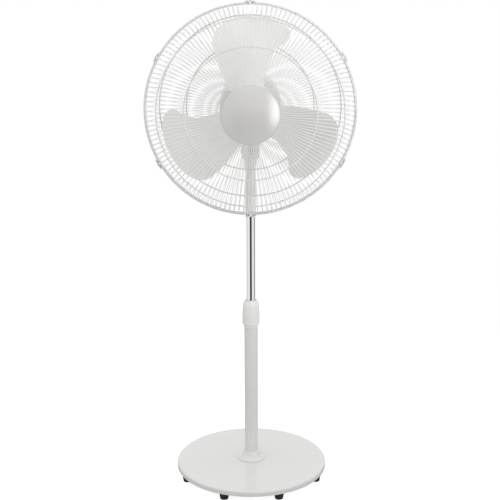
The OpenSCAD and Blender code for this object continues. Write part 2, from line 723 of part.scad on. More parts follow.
// the grid is finer towards the tip and the two edges
module one_blade(rows = 12, cols = 12) {
    w = cols + 1;
    n = (rows + 1) * w;
    along = [for (i = [0:rows]) 1 - pow(1 - i / rows, 1.5)];
    across = [for (j = [0:cols]) (1 - cos(180 * j / cols)) / 2];
    front = [for (s = along, u = across) blade_point(s, u, -1)];
    back = [for (s = along, u = across) blade_point(s, u, 1)];
    function at(i, j) = i * w + j;
    loop = concat([for (j = [0:cols]) at(0, j)], [for (i = [1:rows]) at(i, cols)],
        [for (j = [cols - 1:-1:0]) at(rows, j)], [for (i = [rows - 1:-1:1]) at(i, 0)]);
    m = len(loop);
    faces = concat(
        [for (i = [0:rows - 1], j = [0:cols - 1]) [at(i, j), at(i + 1, j + 1), at(i, j + 1)]],
        [for (i = [0:rows - 1], j = [0:cols - 1]) [at(i, j), at(i + 1, j), at(i + 1, j + 1)]],
        [for (i = [0:rows - 1], j = [0:cols - 1]) [n + at(i, j), n + at(i, j + 1), n + at(i + 1, j + 1)]],
        [for (i = [0:rows - 1], j = [0:cols - 1]) [n + at(i, j), n + at(i + 1, j + 1), n + at(i + 1, j)]],
        [for (k = [0:m - 1]) [loop[k], n + loop[(k + 1) % m], n + loop[k]]],
        [for (k = [0:m - 1]) [loop[k], loop[(k + 1) % m], n + loop[(k + 1) % m]]]);
    translate([0, 0, head_z]) polyhedron(concat(front, back), faces);
}

module blade() color(pale) {
    for (k = [0:2]) translate([0, 0, head_z]) rotate([0, 120 * k, 0]) translate([0, 0, -head_z])
        difference() {
            one_blade();
            rod(hub_r - 1.5, hub_y - 60, hub_y + hub_len + 60);
        }
    difference() {
        turned(concat([[shaft_r + slip, hub_y]], [[hub_r - 8, hub_y]],
            arc(hub_r - 8, hub_y + 8, 8, 270, 360, 6),
            [[hub_r, hub_y + hub_len], [hub_r - 2.5, hub_y + hub_len], [hub_r - 2.5, hub_y + 9],
             [hub_r - 9, hub_y + 3], [shaft_r + 5, hub_y + 3], [shaft_r + 5, hub_y + 24],
             [shaft_r + slip, hub_y + 24]]));
        translate([0, hub_y + 10, 0]) rod_x(1.7, -9.5, 9.5, 0, head_z);
    }
}

module drive_pin() color(steel) translate([0, hub_y + 10, 0]) rod_x(1.5, -8.8, 8.8, 0, head_z);

module blade_nut() color(pale) {
    turned([[shaft_r + fit, hub_y - 13], [8, hub_y - 13], [14, hub_y - 2.5], [14, hub_y],
            [shaft_r + fit, hub_y]]);
    turned([[0, hub_y - 19], [6, hub_y - 18], [8, hub_y - 13], [shaft_r + fit, hub_y - 13],
            [shaft_r + fit, hub_y - 16.4], [0, hub_y - 16.4]]);
}

base_cover();
base_plate();
ballast();
base_feet();
base_bolt();
tube_flange();
lower_tube();
tube_plug();
guide_bush();
grip_ring();
height_collar();
chrome_pole();
pole_slider();
neck();
neck_screw();
tilt_bolt();
tilt_nut();
tilt_knuckle();
pan_bush();
thrust_spacer();
pan_shaft();
gearbox_case();
worm_wheel();
crank_disc();
link_arm();
osc_knob();
motor_front_bracket();
motor_rear_bracket();
shaft_bearings();
stator_core();
stator_coils();
motor_bolts();
rotor_cage();
motor_shaft();
motor_shroud();
rear_cover();
cover_screws();
speed_switch();
speed_knob();
run_capacitor();
cable_gland();
rear_guard_wires();
rear_guard_rings();
rear_guard_plate();
guard_nut();
blade();
drive_pin();
blade_nut();
front_guard_wires();
front_guard_rings();
cap_plate();
badge_cap();
guard_clip_1();
guard_clip_2();
guard_clip_3();
guard_clip_4();
guard_clip_5();
guard_clip_6();
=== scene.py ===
import json
import math

import bmesh
import bpy
from mathutils import Matrix, Vector


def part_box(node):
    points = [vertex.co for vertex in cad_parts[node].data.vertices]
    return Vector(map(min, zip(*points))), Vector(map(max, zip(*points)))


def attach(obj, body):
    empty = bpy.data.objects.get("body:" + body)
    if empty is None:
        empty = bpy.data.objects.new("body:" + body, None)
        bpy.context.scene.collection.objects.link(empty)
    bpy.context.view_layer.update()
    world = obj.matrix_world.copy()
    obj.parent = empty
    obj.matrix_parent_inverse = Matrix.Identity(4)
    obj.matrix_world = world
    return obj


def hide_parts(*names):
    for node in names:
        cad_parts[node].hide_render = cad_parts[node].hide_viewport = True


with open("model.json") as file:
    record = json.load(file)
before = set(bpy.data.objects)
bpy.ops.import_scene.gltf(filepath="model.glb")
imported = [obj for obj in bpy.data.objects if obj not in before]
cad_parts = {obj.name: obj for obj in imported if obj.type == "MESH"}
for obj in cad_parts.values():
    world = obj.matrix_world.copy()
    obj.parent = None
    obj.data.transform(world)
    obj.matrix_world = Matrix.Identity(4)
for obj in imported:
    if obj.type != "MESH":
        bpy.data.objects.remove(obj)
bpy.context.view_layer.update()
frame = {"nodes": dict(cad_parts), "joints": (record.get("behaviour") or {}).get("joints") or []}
nodes = frame["nodes"]
scene = bpy.context.scene
print("frame loaded:", len(nodes), "nodes")


# ---------- small tools ----------

def rad(degrees):
    return math.radians(degrees)


def addObject(name, mesh):
    obj = bpy.data.objects.new(name, mesh)
    scene.collection.objects.link(obj)
    return obj


def smoothMesh(mesh, angle=32):
    mesh.shade_smooth()
    mesh.set_sharp_from_angle(angle=rad(angle))
    return mesh


def meshFrom(name, points, faces, angle=32, fixNormals=True):
    mesh = bpy.data.meshes.new(name)
    mesh.from_pydata([tuple(p) for p in points], [], faces)
    if fixNormals:
        bm = bmesh.new()
        bm.from_mesh(mesh)
        bmesh.ops.remove_doubles(bm, verts=bm.verts, dist=1e-6)
        bmesh.ops.recalc_face_normals(bm, faces=bm.faces)
        bm.to_mesh(mesh)
        bm.free()
    mesh.validate()
    return smoothMesh(mesh, angle)


def plainMesh(obj, angle=32):
    # the evaluated result becomes the object's own mesh, with no modifier left
    graph = bpy.context.evaluated_depsgraph_get()
    graph.update()
    mesh = bpy.data.meshes.new_from_object(obj.evaluated_get(graph), depsgraph=graph)
    obj.modifiers.clear()
    obj.data = mesh
    smoothMesh(mesh, angle)
    return obj


def aroundZ(x, y, z):
    return Vector((x, y, z))


def headAxis(headZ):
    return lambda x, y, along: Vector((x, along, headZ + y))


def middleOf(name):
    low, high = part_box(name)
    return (low + high) / 2


def turned(name, profile, place, steps=96, angle=32):
    # a closed outline of (radius, along) turned about an axis; place maps x, y, along to the frame
    rows = len(profile)
    points = []
    for s in range(steps):
        a = 2 * math.pi * s / steps
        for radius, along in profile:
            points.append(place(radius * math.cos(a), radius * math.sin(a), along))
    faces = []
    for s in range(steps):
        t = (s + 1) % steps
        for i in range(rows):
            j = (i + 1) % rows
            if profile[i][0] < 1e-7 and profile[j][0] < 1e-7:
                continue
            faces.append((s * rows + i, s * rows + j, t * rows + j, t * rows + i))
    return addObject(name, meshFrom(name, points, faces, angle))


def filletted(points, radii, steps=5):
    # rounds the corners of a closed outline; a radius of 0 keeps the corner
    out = []
    count = len(points)
    for i, corner in enumerate(points):
        radius = radii[i] if i < len(radii) else 0
        c = Vector(corner)
        if radius <= 0:
            out.append(tuple(c))
            continue
        a = (Vector(points[i - 1]) - c)
        b = (Vector(points[(i + 1) % count]) - c)
        half = a.angle(b) / 2
        cut = min(radius / math.tan(half), 0.49 * a.length, 0.49 * b.length)
        radius = cut * math.tan(half)
        start = c + a.normalized() * cut
        end = c + b.normalized() * cut
        middle = c + (a.normalized() + b.normalized()).normalized() * (radius / math.sin(half))
        u = start - middle
        v = end - middle
        sweep = u.angle(v)
        for k in range(steps + 1):
            t = k / steps
            w = (math.sin((1 - t) * sweep) * u + math.sin(t * sweep) * v) / math.sin(sweep)
            out.append(tuple(middle + w))
    return out


def boxMesh(name, low, high, place=aroundZ):
    points = [place(x, y, z) for x in (low[0], high[0]) for y in (low[1], high[1]) for z in (low[2], high[2])]
    faces = [(0, 1, 3, 2), (4, 6, 7, 5), (0, 4, 5, 1), (2, 3, 7, 6), (0, 2, 6, 4), (1, 5, 7, 3)]
    return addObject(name, meshFrom(name, points, faces))


def boolean(target, cutter, operation="DIFFERENCE"):
    modifier = target.modifiers.new("cut", "BOOLEAN")
    modifier.object = cutter
    modifier.operation = operation
    modifier.solver = "EXACT"
    plainMesh(target)
    bpy.data.objects.remove(cutter)


def drilled(target, radius, start, end, place, steps=32):
    boolean(target, turned("drillCutter", [(0, start), (radius, start), (radius, end), (0, end)], place, steps))


def prism(name, outline, place):
    # a closed outline drawn out from -1 to 1 of the third coordinate; place maps it to the frame
    count = len(outline)
    points = [place(u, v, end) for end in (-1, 1) for u, v in outline]
    faces = [tuple(range(count)), tuple(range(2 * count - 1, count - 1, -1))]
    faces += [(i, (i + 1) % count, count + (i + 1) % count, count + i) for i in range(count)]
    return addObject(name, meshFrom(name, points, faces))


def bevelled(obj, width, segments=2, angle=40):
    modifier = obj.modifiers.new("edges", "BEVEL")
    modifier.width = width
    modifier.segments = segments
    modifier.limit_method = "ANGLE"
    modifier.angle_limit = rad(angle)
    return plainMesh(obj)


def joined(name, parts):
    bm = bmesh.new()
    for part in parts:
        bm.from_mesh(part.data)
        bpy.data.objects.remove(part)
    mesh = bpy.data.meshes.new(name)
    bm.to_mesh(mesh)
    bm.free()
    return addObject(name, smoothMesh(mesh))


def finished(piece, material, body, replaces=()):
    piece.data.materials.clear()
    piece.data.materials.append(material)
    for face in piece.data.polygons:
        face.material_index = 0
    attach(piece, body)
    if replaces:
        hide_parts(*replaces)
    return piece


# ---------- Geometry Nodes trees ----------

def newTree(name, inputs):
    tree = bpy.data.node_groups.new(name, "GeometryNodeTree")
    tree.interface.new_socket(name="Geometry", in_out="INPUT", socket_type="NodeSocketGeometry")
    for label, kind in inputs:
        tree.interface.new_socket(name=label, in_out="INPUT", socket_type=kind)
    tree.interface.new_socket(name="Geometry", in_out="OUTPUT", socket_type="NodeSocketGeometry")
    return tree, tree.nodes.new("NodeGroupInput"), tree.nodes.new("NodeGroupOutput")


def mathNode(tree, operation, first, second):
    node = tree.nodes.new("ShaderNodeMath")
    node.operation = operation
    for socket, value in zip(node.inputs, (first, second)):
        if isinstance(value, (int, float)):
            socket.default_value = value
        else:
            tree.links.new(value, socket)
    return node.outputs[0]


def buildTurnArray():
    # repeats the object's own mesh around an axis through Centre
    tree, start, end = newTree("turnArray", [
        ("Count", "NodeSocketInt"), ("First angle", "NodeSocketFloat"),
        ("Axis", "NodeSocketVector"), ("Centre", "NodeSocketVector"),
        ("Wire radius", "NodeSocketFloat"), ("Material", "NodeSocketMaterial")])
    link = tree.links.new
    toCurve = tree.nodes.new("GeometryNodeMeshToCurve")
    section = tree.nodes.new("GeometryNodeCurvePrimitiveCircle")
    section.inputs["Resolution"].default_value = 8
    sweep = tree.nodes.new("GeometryNodeCurveToMesh")
    sweep.inputs["Fill Caps"].default_value = True
    isWire = tree.nodes.new("FunctionNodeCompare")
    isWire.data_type = "FLOAT"
    isWire.operation = "GREATER_THAN"
    choice = tree.nodes.new("GeometryNodeSwitch")
    choice.input_type = "GEOMETRY"
    spots = tree.nodes.new("GeometryNodeMeshLine")
    spots.mode = "OFFSET"
    spots.inputs["Offset"].default_value = (0, 0, 0)
    index = tree.nodes.new("GeometryNodeInputIndex")
    turn = tree.nodes.new("FunctionNodeAxisAngleToRotation")
    place = tree.nodes.new("GeometryNodeInstanceOnPoints")
    realize = tree.nodes.new("GeometryNodeRealizeInstances")
    move = tree.nodes.new("GeometryNodeTransform")
    paint = tree.nodes.new("GeometryNodeSetMaterial")
    link(start.outputs["Geometry"], toCurve.inputs["Mesh"])
    link(start.outputs["Wire radius"], section.inputs["Radius"])
    link(toCurve.outputs["Curve"], sweep.inputs["Curve"])
    link(section.outputs["Curve"], sweep.inputs["Profile Curve"])
    link(start.outputs["Wire radius"], isWire.inputs[0])
    link(isWire.outputs["Result"], choice.inputs["Switch"])
    link(start.outputs["Geometry"], choice.inputs["False"])
    link(sweep.outputs["Mesh"], choice.inputs["True"])
    link(start.outputs["Count"], spots.inputs["Count"])
    step = mathNode(tree, "DIVIDE", 2 * math.pi, start.outputs["Count"])
    angle = mathNode(tree, "ADD", mathNode(tree, "MULTIPLY", step, index.outputs[0]),
                     start.outputs["First angle"])
    link(start.outputs["Axis"], turn.inputs["Axis"])
    link(angle, turn.inputs["Angle"])
    link(spots.outputs["Mesh"], place.inputs["Points"])
    link(choice.outputs["Output"], place.inputs["Instance"])
    link(turn.outputs["Rotation"], place.inputs["Rotation"])
    link(place.outputs["Instances"], realize.inputs["Geometry"])
    link(realize.outputs["Geometry"], move.inputs["Geometry"])
    link(start.outputs["Centre"], move.inputs["Translation"])
    link(move.outputs["Geometry"], paint.inputs["Geometry"])
    link(start.outputs["Material"], paint.inputs["Material"])
    link(paint.outputs["Geometry"], end.inputs["Geometry"])
    return tree


def buildWireRing():
    # one round wire bent to a circle about the axis Y
    tree, start, end = newTree("wireRing", [
        ("Ring radius", "NodeSocketFloat"), ("Wire radius", "NodeSocketFloat"),
        ("Centre", "NodeSocketVector"), ("Material", "NodeSocketMaterial")])
    link = tree.links.new
    path = tree.nodes.new("GeometryNodeCurvePrimitiveCircle")
    path.inputs["Resolution"].default_value = 240
    section = tree.nodes.new("GeometryNodeCurvePrimitiveCircle")
    section.inputs["Resolution"].default_value = 12
    sweep = tree.nodes.new("GeometryNodeCurveToMesh")
    move = tree.nodes.new("GeometryNodeTransform")
    move.inputs["Rotation"].default_value = (rad(90), 0, 0)
    realize = tree.nodes.new("GeometryNodeRealizeInstances")
    paint = tree.nodes.new("GeometryNodeSetMaterial")
    link(start.outputs["Ring radius"], path.inputs["Radius"])
    link(start.outputs["Wire radius"], section.inputs["Radius"])
    link(path.outputs["Curve"], sweep.inputs["Curve"])
    link(section.outputs["Curve"], sweep.inputs["Profile Curve"])
    link(sweep.outputs["Mesh"], move.inputs["Geometry"])
    link(start.outputs["Centre"], move.inputs["Translation"])
    link(move.outputs["Geometry"], realize.inputs["Geometry"])
    link(realize.outputs["Geometry"], paint.inputs["Geometry"])
    link(start.outputs["Material"], paint.inputs["Material"])
    link(paint.outputs["Geometry"], end.inputs["Geometry"])
    return tree


def runTree(obj, tree, values, angle=32):
    modifier = obj.modifiers.new(tree.name, "NODES")
    modifier.node_group = tree
    sockets = {s.name: s.identifier for s in tree.interface.items_tree
               if s.item_type == "SOCKET" and s.in_out == "INPUT"}
    for label, value in values.items():
        modifier[sockets[label]] = value
    obj.update_tag()
    return plainMesh(obj, angle)


turnArray = buildTurnArray()
wireRing = buildWireRing()
print("Geometry Nodes trees built")


def repeated(obj, count, centre, material, firstAngle=0.0, axis=(0, 1, 0), wireRadius=0.0, angle=32):
    return runTree(obj, turnArray, {"Count": count, "First angle": firstAngle, "Axis": axis, "Centre": centre,
                                    "Wire radius": wireRadius, "Material": material}, angle)


# ---------- shader groups ----------

def newGroup(name, inputs, outputs):
    group = bpy.data.node_groups.new(name, "ShaderNodeTree")
    for label, kind, value in inputs:
        socket = group.interface.new_socket(name=label, in_out="INPUT", socket_type=kind)
        socket.default_value = value
    for label, kind in outputs:
        group.interface.new_socket(name=label, in_out="OUTPUT", socket_type=kind)
    return group, group.nodes.new("NodeGroupInput"), group.nodes.new("NodeGroupOutput")


def noise(tree, vector, scale, detail=4, roughness=0.5):
    node = tree.nodes.new("ShaderNodeTexNoise")
    node.inputs["Detail"].default_value = detail
    node.inputs["Roughness"].default_value = roughness
    tree.links.new(vector, node.inputs["Vector"])
    if isinstance(scale, (int, float)):
        node.inputs["Scale"].default_value = scale
    else:
        tree.links.new(scale, node.inputs["Scale"])
    return node.outputs["Fac"]


def rangeNode(tree, value, low, high, outLow, outHigh):
    node = tree.nodes.new("ShaderNodeMapRange")
    for label, given in (("Value", value), ("From Min", low), ("From Max", high),
                         ("To Min", outLow), ("To Max", outHigh)):
        if isinstance(given, (int, float)):
            node.inputs[label].default_value = given
        else:
            tree.links.new(given, node.inputs[label])
    return node.outputs["Result"]


def mixColour(tree, factor, first, second):
    node = tree.nodes.new("ShaderNodeMix")
    node.data_type = "RGBA"
    for socket, given in ((node.inputs["Factor"], factor), (node.inputs[6], first), (node.inputs[7], second)):
        if isinstance(given, (int, float, tuple)):
            socket.default_value = given
        else:
            tree.links.new(given, socket)
    return node.outputs[2]


def buildSurface():
    # broad tone drift, fine peel and dust that settles on faces that look up
    group, start, end = newGroup("surfaceFinish", [
        ("Colour", "NodeSocketColor", (0.8, 0.8, 0.8, 1)),
        ("Drift", "NodeSocketFloat", 0.02),
        ("Roughness", "NodeSocketFloat", 0.3),
        ("Roughness drift", "NodeSocketFloat", 0.06),
        ("Grain scale", "NodeSocketFloat", 900.0),
        ("Grain height", "NodeSocketFloat", 0.1),
        ("Dust", "NodeSocketFloat", 0.05),
        ("Dust colour", "NodeSocketColor", (0.62, 0.6, 0.57, 1))],
        [("Colour", "NodeSocketColor"), ("Roughness", "NodeSocketFloat"), ("Normal", "NodeSocketVector")])
    link = group.links.new
    coordinates = group.nodes.new("ShaderNodeTexCoord")
    where = coordinates.outputs["Object"]
    broad = noise(group, where, 7.0, 3)
    fine = noise(group, where, start.outputs["Grain scale"], 2, 0.6)
    patches = noise(group, where, 38.0, 5, 0.62)
    bright = mathNode(group, "MULTIPLY", mathNode(group, "SUBTRACT", broad, 0.5), start.outputs["Drift"])
    hsv = group.nodes.new("ShaderNodeHueSaturation")
    link(start.outputs["Colour"], hsv.inputs["Color"])
    link(mathNode(group, "ADD", mathNode(group, "MULTIPLY", bright, 2.0), 1.0), hsv.inputs["Value"])
    geometry = group.nodes.new("ShaderNodeNewGeometry")
    split = group.nodes.new("ShaderNodeSeparateXYZ")
    link(geometry.outputs["Normal"], split.inputs["Vector"])
    up = rangeNode(group, split.outputs["Z"], 0.35, 1.0, 0.0, 1.0)
    settled = mathNode(group, "MULTIPLY", up, rangeNode(group, patches, 0.42, 0.7, 0.2, 1.0))
    dusty = mathNode(group, "MULTIPLY", settled, start.outputs["Dust"])
    link(mixColour(group, dusty, hsv.outputs["Color"], start.outputs["Dust colour"]), end.inputs["Colour"])
    drift = mathNode(group, "MULTIPLY", mathNode(group, "SUBTRACT", patches, 0.5), start.outputs["Roughness drift"])
    rough = mathNode(group, "ADD", mathNode(group, "ADD", start.outputs["Roughness"],
                                            mathNode(group, "MULTIPLY", drift, 2.0)),
                     mathNode(group, "MULTIPLY", dusty, 0.6))
    link(rough, end.inputs["Roughness"])
    bump = group.nodes.new("ShaderNodeBump")
    bump.inputs["Distance"].default_value = 0.0004
    link(start.outputs["Grain height"], bump.inputs["Strength"])
    link(fine, bump.inputs["Height"])
    link(bump.outputs["Normal"], end.inputs["Normal"])
    return group


def buildWear():
    # edges lose a little of their finish
    group, start, end = newGroup("edgeWear", [
        ("Colour", "NodeSocketColor", (0.8, 0.8, 0.8, 1)),
        ("Worn colour", "NodeSocketColor", (0.5, 0.5, 0.5, 1)),
        ("Amount", "NodeSocketFloat", 0.2)],
        [("Colour", "NodeSocketColor"), ("Mask", "NodeSocketFloat")])
    link = group.links.new
    coordinates = group.nodes.new("ShaderNodeTexCoord")
    geometry = group.nodes.new("ShaderNodeNewGeometry")
    edge = rangeNode(group, geometry.outputs["Pointiness"], 0.53, 0.62, 0.0, 1.0)
    broken = rangeNode(group, noise(group, coordinates.outputs["Object"], 160.0, 5, 0.7), 0.4, 0.6, 0.0, 1.0)
    mask = mathNode(group, "MULTIPLY", mathNode(group, "MULTIPLY", edge, broken), start.outputs["Amount"])
    link(mixColour(group, mask, start.outputs["Colour"], start.outputs["Worn colour"]), end.inputs["Colour"])
    link(mask, end.inputs["Mask"])
    return group


surfaceFinish = buildSurface()
edgeWear = buildWear()


def makeMaterial(name, colour, roughness, metallic=0.0, drift=0.02, roughDrift=0.05, grain=900.0,
                 grainHeight=0.08, dust=0.04, wear=0.0, worn=(0.5, 0.5, 0.5), coat=0.0, specular=0.5):
    material = bpy.data.materials.new(name)
    material.use_nodes = True
    tree = material.node_tree
    shader = tree.nodes["Principled BSDF"]
    shader.inputs["Metallic"].default_value = metallic
    shader.inputs["Coat Weight"].default_value = coat
    shader.inputs["Coat Roughness"].default_value = 0.08
    shader.inputs["Specular IOR Level"].default_value = specular
    finish = tree.nodes.new("ShaderNodeGroup")
    finish.node_tree = surfaceFinish
    for label, value in (("Colour", (*colour, 1)), ("Drift", drift), ("Roughness", roughness),
                         ("Roughness drift", roughDrift), ("Grain scale", grain),
                         ("Grain height", grainHeight), ("Dust", dust)):
        finish.inputs[label].default_value = value
    colourOut = finish.outputs["Colour"]
    if wear:
        edges = tree.nodes.new("ShaderNodeGroup")
        edges.node_tree = edgeWear
        edges.inputs["Amount"].default_value = wear
        edges.inputs["Worn colour"].default_value = (*worn, 1)
        tree.links.new(colourOut, edges.inputs["Colour"])
        colourOut = edges.outputs["Colour"]
    tree.links.new(colourOut, shader.inputs["Base Color"])
    tree.links.new(finish.outputs["Roughness"], shader.inputs["Roughness"])
    tree.links.new(finish.outputs["Normal"], shader.inputs["Normal"])
    return material


whitePaint = makeMaterial("whitePaint", (0.70, 0.70, 0.69), 0.17, grain=1400, grainHeight=0.06, coat=0.5,
                          wear=0.15, worn=(0.55, 0.55, 0.55))
whitePlastic = makeMaterial("whitePlastic", (0.77, 0.77, 0.76), 0.34, grain=2600, grainHeight=0.05)
bladePlastic = makeMaterial("bladePlastic", (0.735, 0.73, 0.715), 0.34, grain=700, grainHeight=0.03, drift=0.03)
capPlastic = makeMaterial("capPlastic", (0.53, 0.525, 0.515), 0.20, grain=2200, grainHeight=0.02, specular=0.9)
wirePaint = makeMaterial("wirePaint", (0.77, 0.77, 0.765), 0.40, grain=2400, grainHeight=0.06)
# the guard rings are the same painted wire as the guard wires; this darker copy of the wire paint is painted shade on
# the thick rings
shadedRingPaint = makeMaterial("shadedRingPaint", (0.68, 0.68, 0.67), 0.40, grain=2400, grainHeight=0.06)
chromePlate = makeMaterial("chromePlate", (0.86, 0.87, 0.88), 0.06, 1.0, drift=0.01, roughDrift=0.03,
                           grain=600, grainHeight=0.01, dust=0.02)
zincSteel = makeMaterial("zincSteel", (0.56, 0.57, 0.58), 0.34, 1.0, drift=0.08, roughDrift=0.2, grain=500,
                         wear=0.3, worn=(0.75, 0.75, 0.76))
castAlloy = makeMaterial("castAlloy", (0.42, 0.43, 0.44), 0.55, 0.9, drift=0.1, roughDrift=0.2, grain=420,
                         grainHeight=0.5, wear=0.35, worn=(0.7, 0.7, 0.71))
ballastIron = makeMaterial("ballastIron", (0.10, 0.10, 0.105), 0.75, 0.6, drift=0.2, grain=240, grainHeight=0.9)
bearingBronze = makeMaterial("bearingBronze", (0.50, 0.34, 0.16), 0.42, 1.0, drift=0.1, grain=900, grainHeight=0.3)
copperWire = makeMaterial("copperWire", (0.56, 0.22, 0.09), 0.32, 0.9, drift=0.15, grain=1500, grainHeight=0.8)
lamination = makeMaterial("lamination", (0.25, 0.26, 0.28), 0.45, 0.9, drift=0.15, grain=1100, grainHeight=0.5)
blackRubber = makeMaterial("blackRubber", (0.012, 0.012, 0.012), 0.62, drift=0.2, grain=900, grainHeight=0.3,
                           dust=0.05)
blackPlastic = makeMaterial("blackPlastic", (0.02, 0.02, 0.021), 0.48, drift=0.1, grain=1300, grainHeight=0.4)
paleNylon = makeMaterial("paleNylon", (0.62, 0.61, 0.57), 0.45, grain=1200, grainHeight=0.1)
print("materials built")


# ---------- camera and light ----------

cameraPlace = {"right": -0.0020, "distance": 2.748, "height": 1.336, "downTilt": 15.02, "roll": -0.195,
               "lens": 81.74}

camera = bpy.data.objects.new("camera", bpy.data.cameras.new("camera"))
scene.collection.objects.link(camera)
camera.location = (cameraPlace["right"], -cameraPlace["distance"], cameraPlace["height"])
camera.rotation_euler = (Matrix.Rotation(rad(90 - cameraPlace["downTilt"]), 3, "X")
                         @ Matrix.Rotation(rad(cameraPlace["roll"]), 3, "Z")).to_euler()
camera.data.lens = cameraPlace["lens"]
camera.data.sensor_width = 36
camera.data.clip_end = 60
scene.camera = camera

studio = {"above": 1.22, "level": 1.08, "below": 1.12, "dark": 0.03, "bandAngle": 24, "bandLow": -34, "bandHigh": -2,
          "leftShade": -0.02, "stripNear": 98, "stripFar": 128, "stripLeft": 0.3, "stripRight": 0.85}


def buildWorld():
    # a white room, brighter above, with a dark doorway low behind the camera for the chrome to mirror
    world = bpy.data.worlds.new("studio")
    scene.world = world
    world.use_nodes = True
    tree = world.node_tree
    tree.nodes.clear()
    link = tree.links.new
    coordinates = tree.nodes.new("ShaderNodeTexCoord")
    split = tree.nodes.new("ShaderNodeSeparateXYZ")
    link(coordinates.outputs["Generated"], split.inputs["Vector"])
    x, y, z = (split.outputs[k] for k in "XYZ")
    upper = rangeNode(tree, z, 0.0, 0.8, studio["level"], studio["above"])
    isUp = mathNode(tree, "GREATER_THAN", z, 0.0)
    wall = mathNode(tree, "ADD", mathNode(tree, "MULTIPLY", upper, isUp),
                    mathNode(tree, "MULTIPLY", rangeNode(tree, z, -0.5, 0.0, studio["below"], studio["level"]),
                             mathNode(tree, "SUBTRACT", 1.0, isUp)))
    side = rangeNode(tree, x, -1.0, 1.0, 1.0 - studio["leftShade"], 1.0 + studio["leftShade"])
    flat = mathNode(tree, "SQRT", mathNode(tree, "SUBTRACT", 1.0, mathNode(tree, "MULTIPLY", z, z)), 0)
    towards = mathNode(tree, "DIVIDE", mathNode(tree, "MULTIPLY", y, -1.0), flat)
    edge = math.cos(rad(studio["bandAngle"]))
    inBand = rangeNode(tree, towards, edge - 0.012, edge + 0.012, 0.0, 1.0)
    low, high = math.sin(rad(studio["bandLow"])), math.sin(rad(studio["bandHigh"]))
    inHeight = mathNode(tree, "MULTIPLY", rangeNode(tree, z, low - 0.03, low, 0.0, 1.0),
                        rangeNode(tree, z, high - 0.03, high, 1.0, 0.0))
    # two dimmer strips at the sides, which the chrome mirrors near its edges
    rightwards = mathNode(tree, "DIVIDE", x, flat)
    far, near = math.cos(rad(studio["stripFar"])), math.cos(rad(studio["stripNear"]))
    strip = mathNode(tree, "MULTIPLY", rangeNode(tree, towards, far - 0.04, far + 0.04, 0.0, 1.0),
                     rangeNode(tree, towards, near - 0.04, near + 0.04, 1.0, 0.0))
    strip = mathNode(tree, "MULTIPLY", strip,
                     rangeNode(tree, rightwards, -0.2, 0.2, studio["stripLeft"], studio["stripRight"]))
    dark = mathNode(tree, "MULTIPLY", inHeight, mathNode(
        tree, "MAXIMUM", mathNode(tree, "MULTIPLY", inBand, 1.0 - studio["dark"]), strip))
    keep = mathNode(tree, "SUBTRACT", 1.0, dark)
    room = tree.nodes.new("ShaderNodeBackground")
    link(mathNode(tree, "MULTIPLY", mathNode(tree, "MULTIPLY", wall, side), keep), room.inputs["Strength"])
    plain = tree.nodes.new("ShaderNodeBackground")
    plain.inputs["Strength"].default_value = 1.0
    plain.inputs["Color"].default_value = (1, 1, 1, 1)
    path = tree.nodes.new("ShaderNodeLightPath")
    mix = tree.nodes.new("ShaderNodeMixShader")
    out = tree.nodes.new("ShaderNodeOutputWorld")
    link(path.outputs["Is Camera Ray"], mix.inputs["Fac"])
    link(room.outputs["Background"], mix.inputs[1])
    link(plain.outputs["Background"], mix.inputs[2])
    link(mix.outputs["Shader"], out.inputs["Surface"])


def softLight(name, power, size, place, target, spread=180):
    light = bpy.data.lights.new(name, "AREA")
    light.shape = "RECTANGLE"
    light.size, light.size_y = size
    light.energy = power
    light.spread = rad(spread)
    obj = bpy.data.objects.new(name, light)
    scene.collection.objects.link(obj)
    obj.location = place
    obj.visible_camera = False
    obj.rotation_euler = (Vector(target) - Vector(place)).to_track_quat("-Z", "Y").to_euler()
    return obj


buildWorld()
softLight("headFront", 0.3, (1.2, 0.5), (-0.3, -1.6, 1.9), (0, -0.1, 0.93), 80)
softLight("headKey", 1.5, (0.6, 1.1), (0.95, -1.45, 0.93), (0, -0.19, 0.965), 60)
softLight("topSoft", 9, (2.0, 2.0), (0, -0.3, 3.0), (0, 0, 0.4))

floorRadius = 1.42
floorEdge = [(floorRadius * math.cos(rad(3 * k)), floorRadius * math.sin(rad(3 * k)), 0) for k in range(120)]
floor = addObject("floor", meshFrom("floor", floorEdge, [tuple(range(120))], fixNormals=False))
floorPaint = bpy.data.materials.new("floorPaint")
floorPaint.use_nodes = True
floorTree = floorPaint.node_tree
floorShader = floorTree.nodes["Principled BSDF"]
floorShader.inputs["Base Color"].default_value = (0.5, 0.5, 0.5, 1)
floorShader.inputs["Roughness"].default_value = 0.9
floorShader.inputs["Specular IOR Level"].default_value = 0.05
floorShader.inputs["Emission Color"].default_value = (1, 1, 1, 1)
# the sweep looks evenly white, but throws back only about half of the light
floorSight = floorTree.nodes.new("ShaderNodeLightPath")
floorTree.links.new(mathNode(floorTree, "MULTIPLY", floorSight.outputs["Is Camera Ray"], 0.88),
                    floorShader.inputs["Emission Strength"])
floor.data.materials.append(floorPaint)
scene.view_settings.view_transform = "Standard"
print("camera, light and floor placed")


# ---------- CAD nodes that keep their shape ----------

keptNodes = {
    whitePaint: ["lower_tube", "tilt_knuckle"],
    chromePlate: ["chrome_pole"],
    zincSteel: ["base_plate", "base_bolt", "tube_plug", "neck_screw", "tilt_bolt", "tilt_nut", "pan_shaft",
                "crank_disc", "link_arm", "motor_bolts", "motor_shaft", "drive_pin"],
    castAlloy: ["gearbox_case", "motor_front_bracket", "motor_rear_bracket"],
    ballastIron: ["ballast"],
    bearingBronze: ["pan_bush", "thrust_spacer", "shaft_bearings"],
    copperWire: ["stator_coils"],
    lamination: ["stator_core", "rotor_cage"],
    blackPlastic: ["speed_switch", "run_capacitor"],
    paleNylon: ["guide_bush", "grip_ring", "pole_slider", "worm_wheel"],
    wirePaint: ["rear_guard_plate", "cap_plate"],
}
for material, names in keptNodes.items():
    for name in names:
        nodes[name].data.materials.clear()
        nodes[name].data.materials.append(material)


# ---------- base ----------

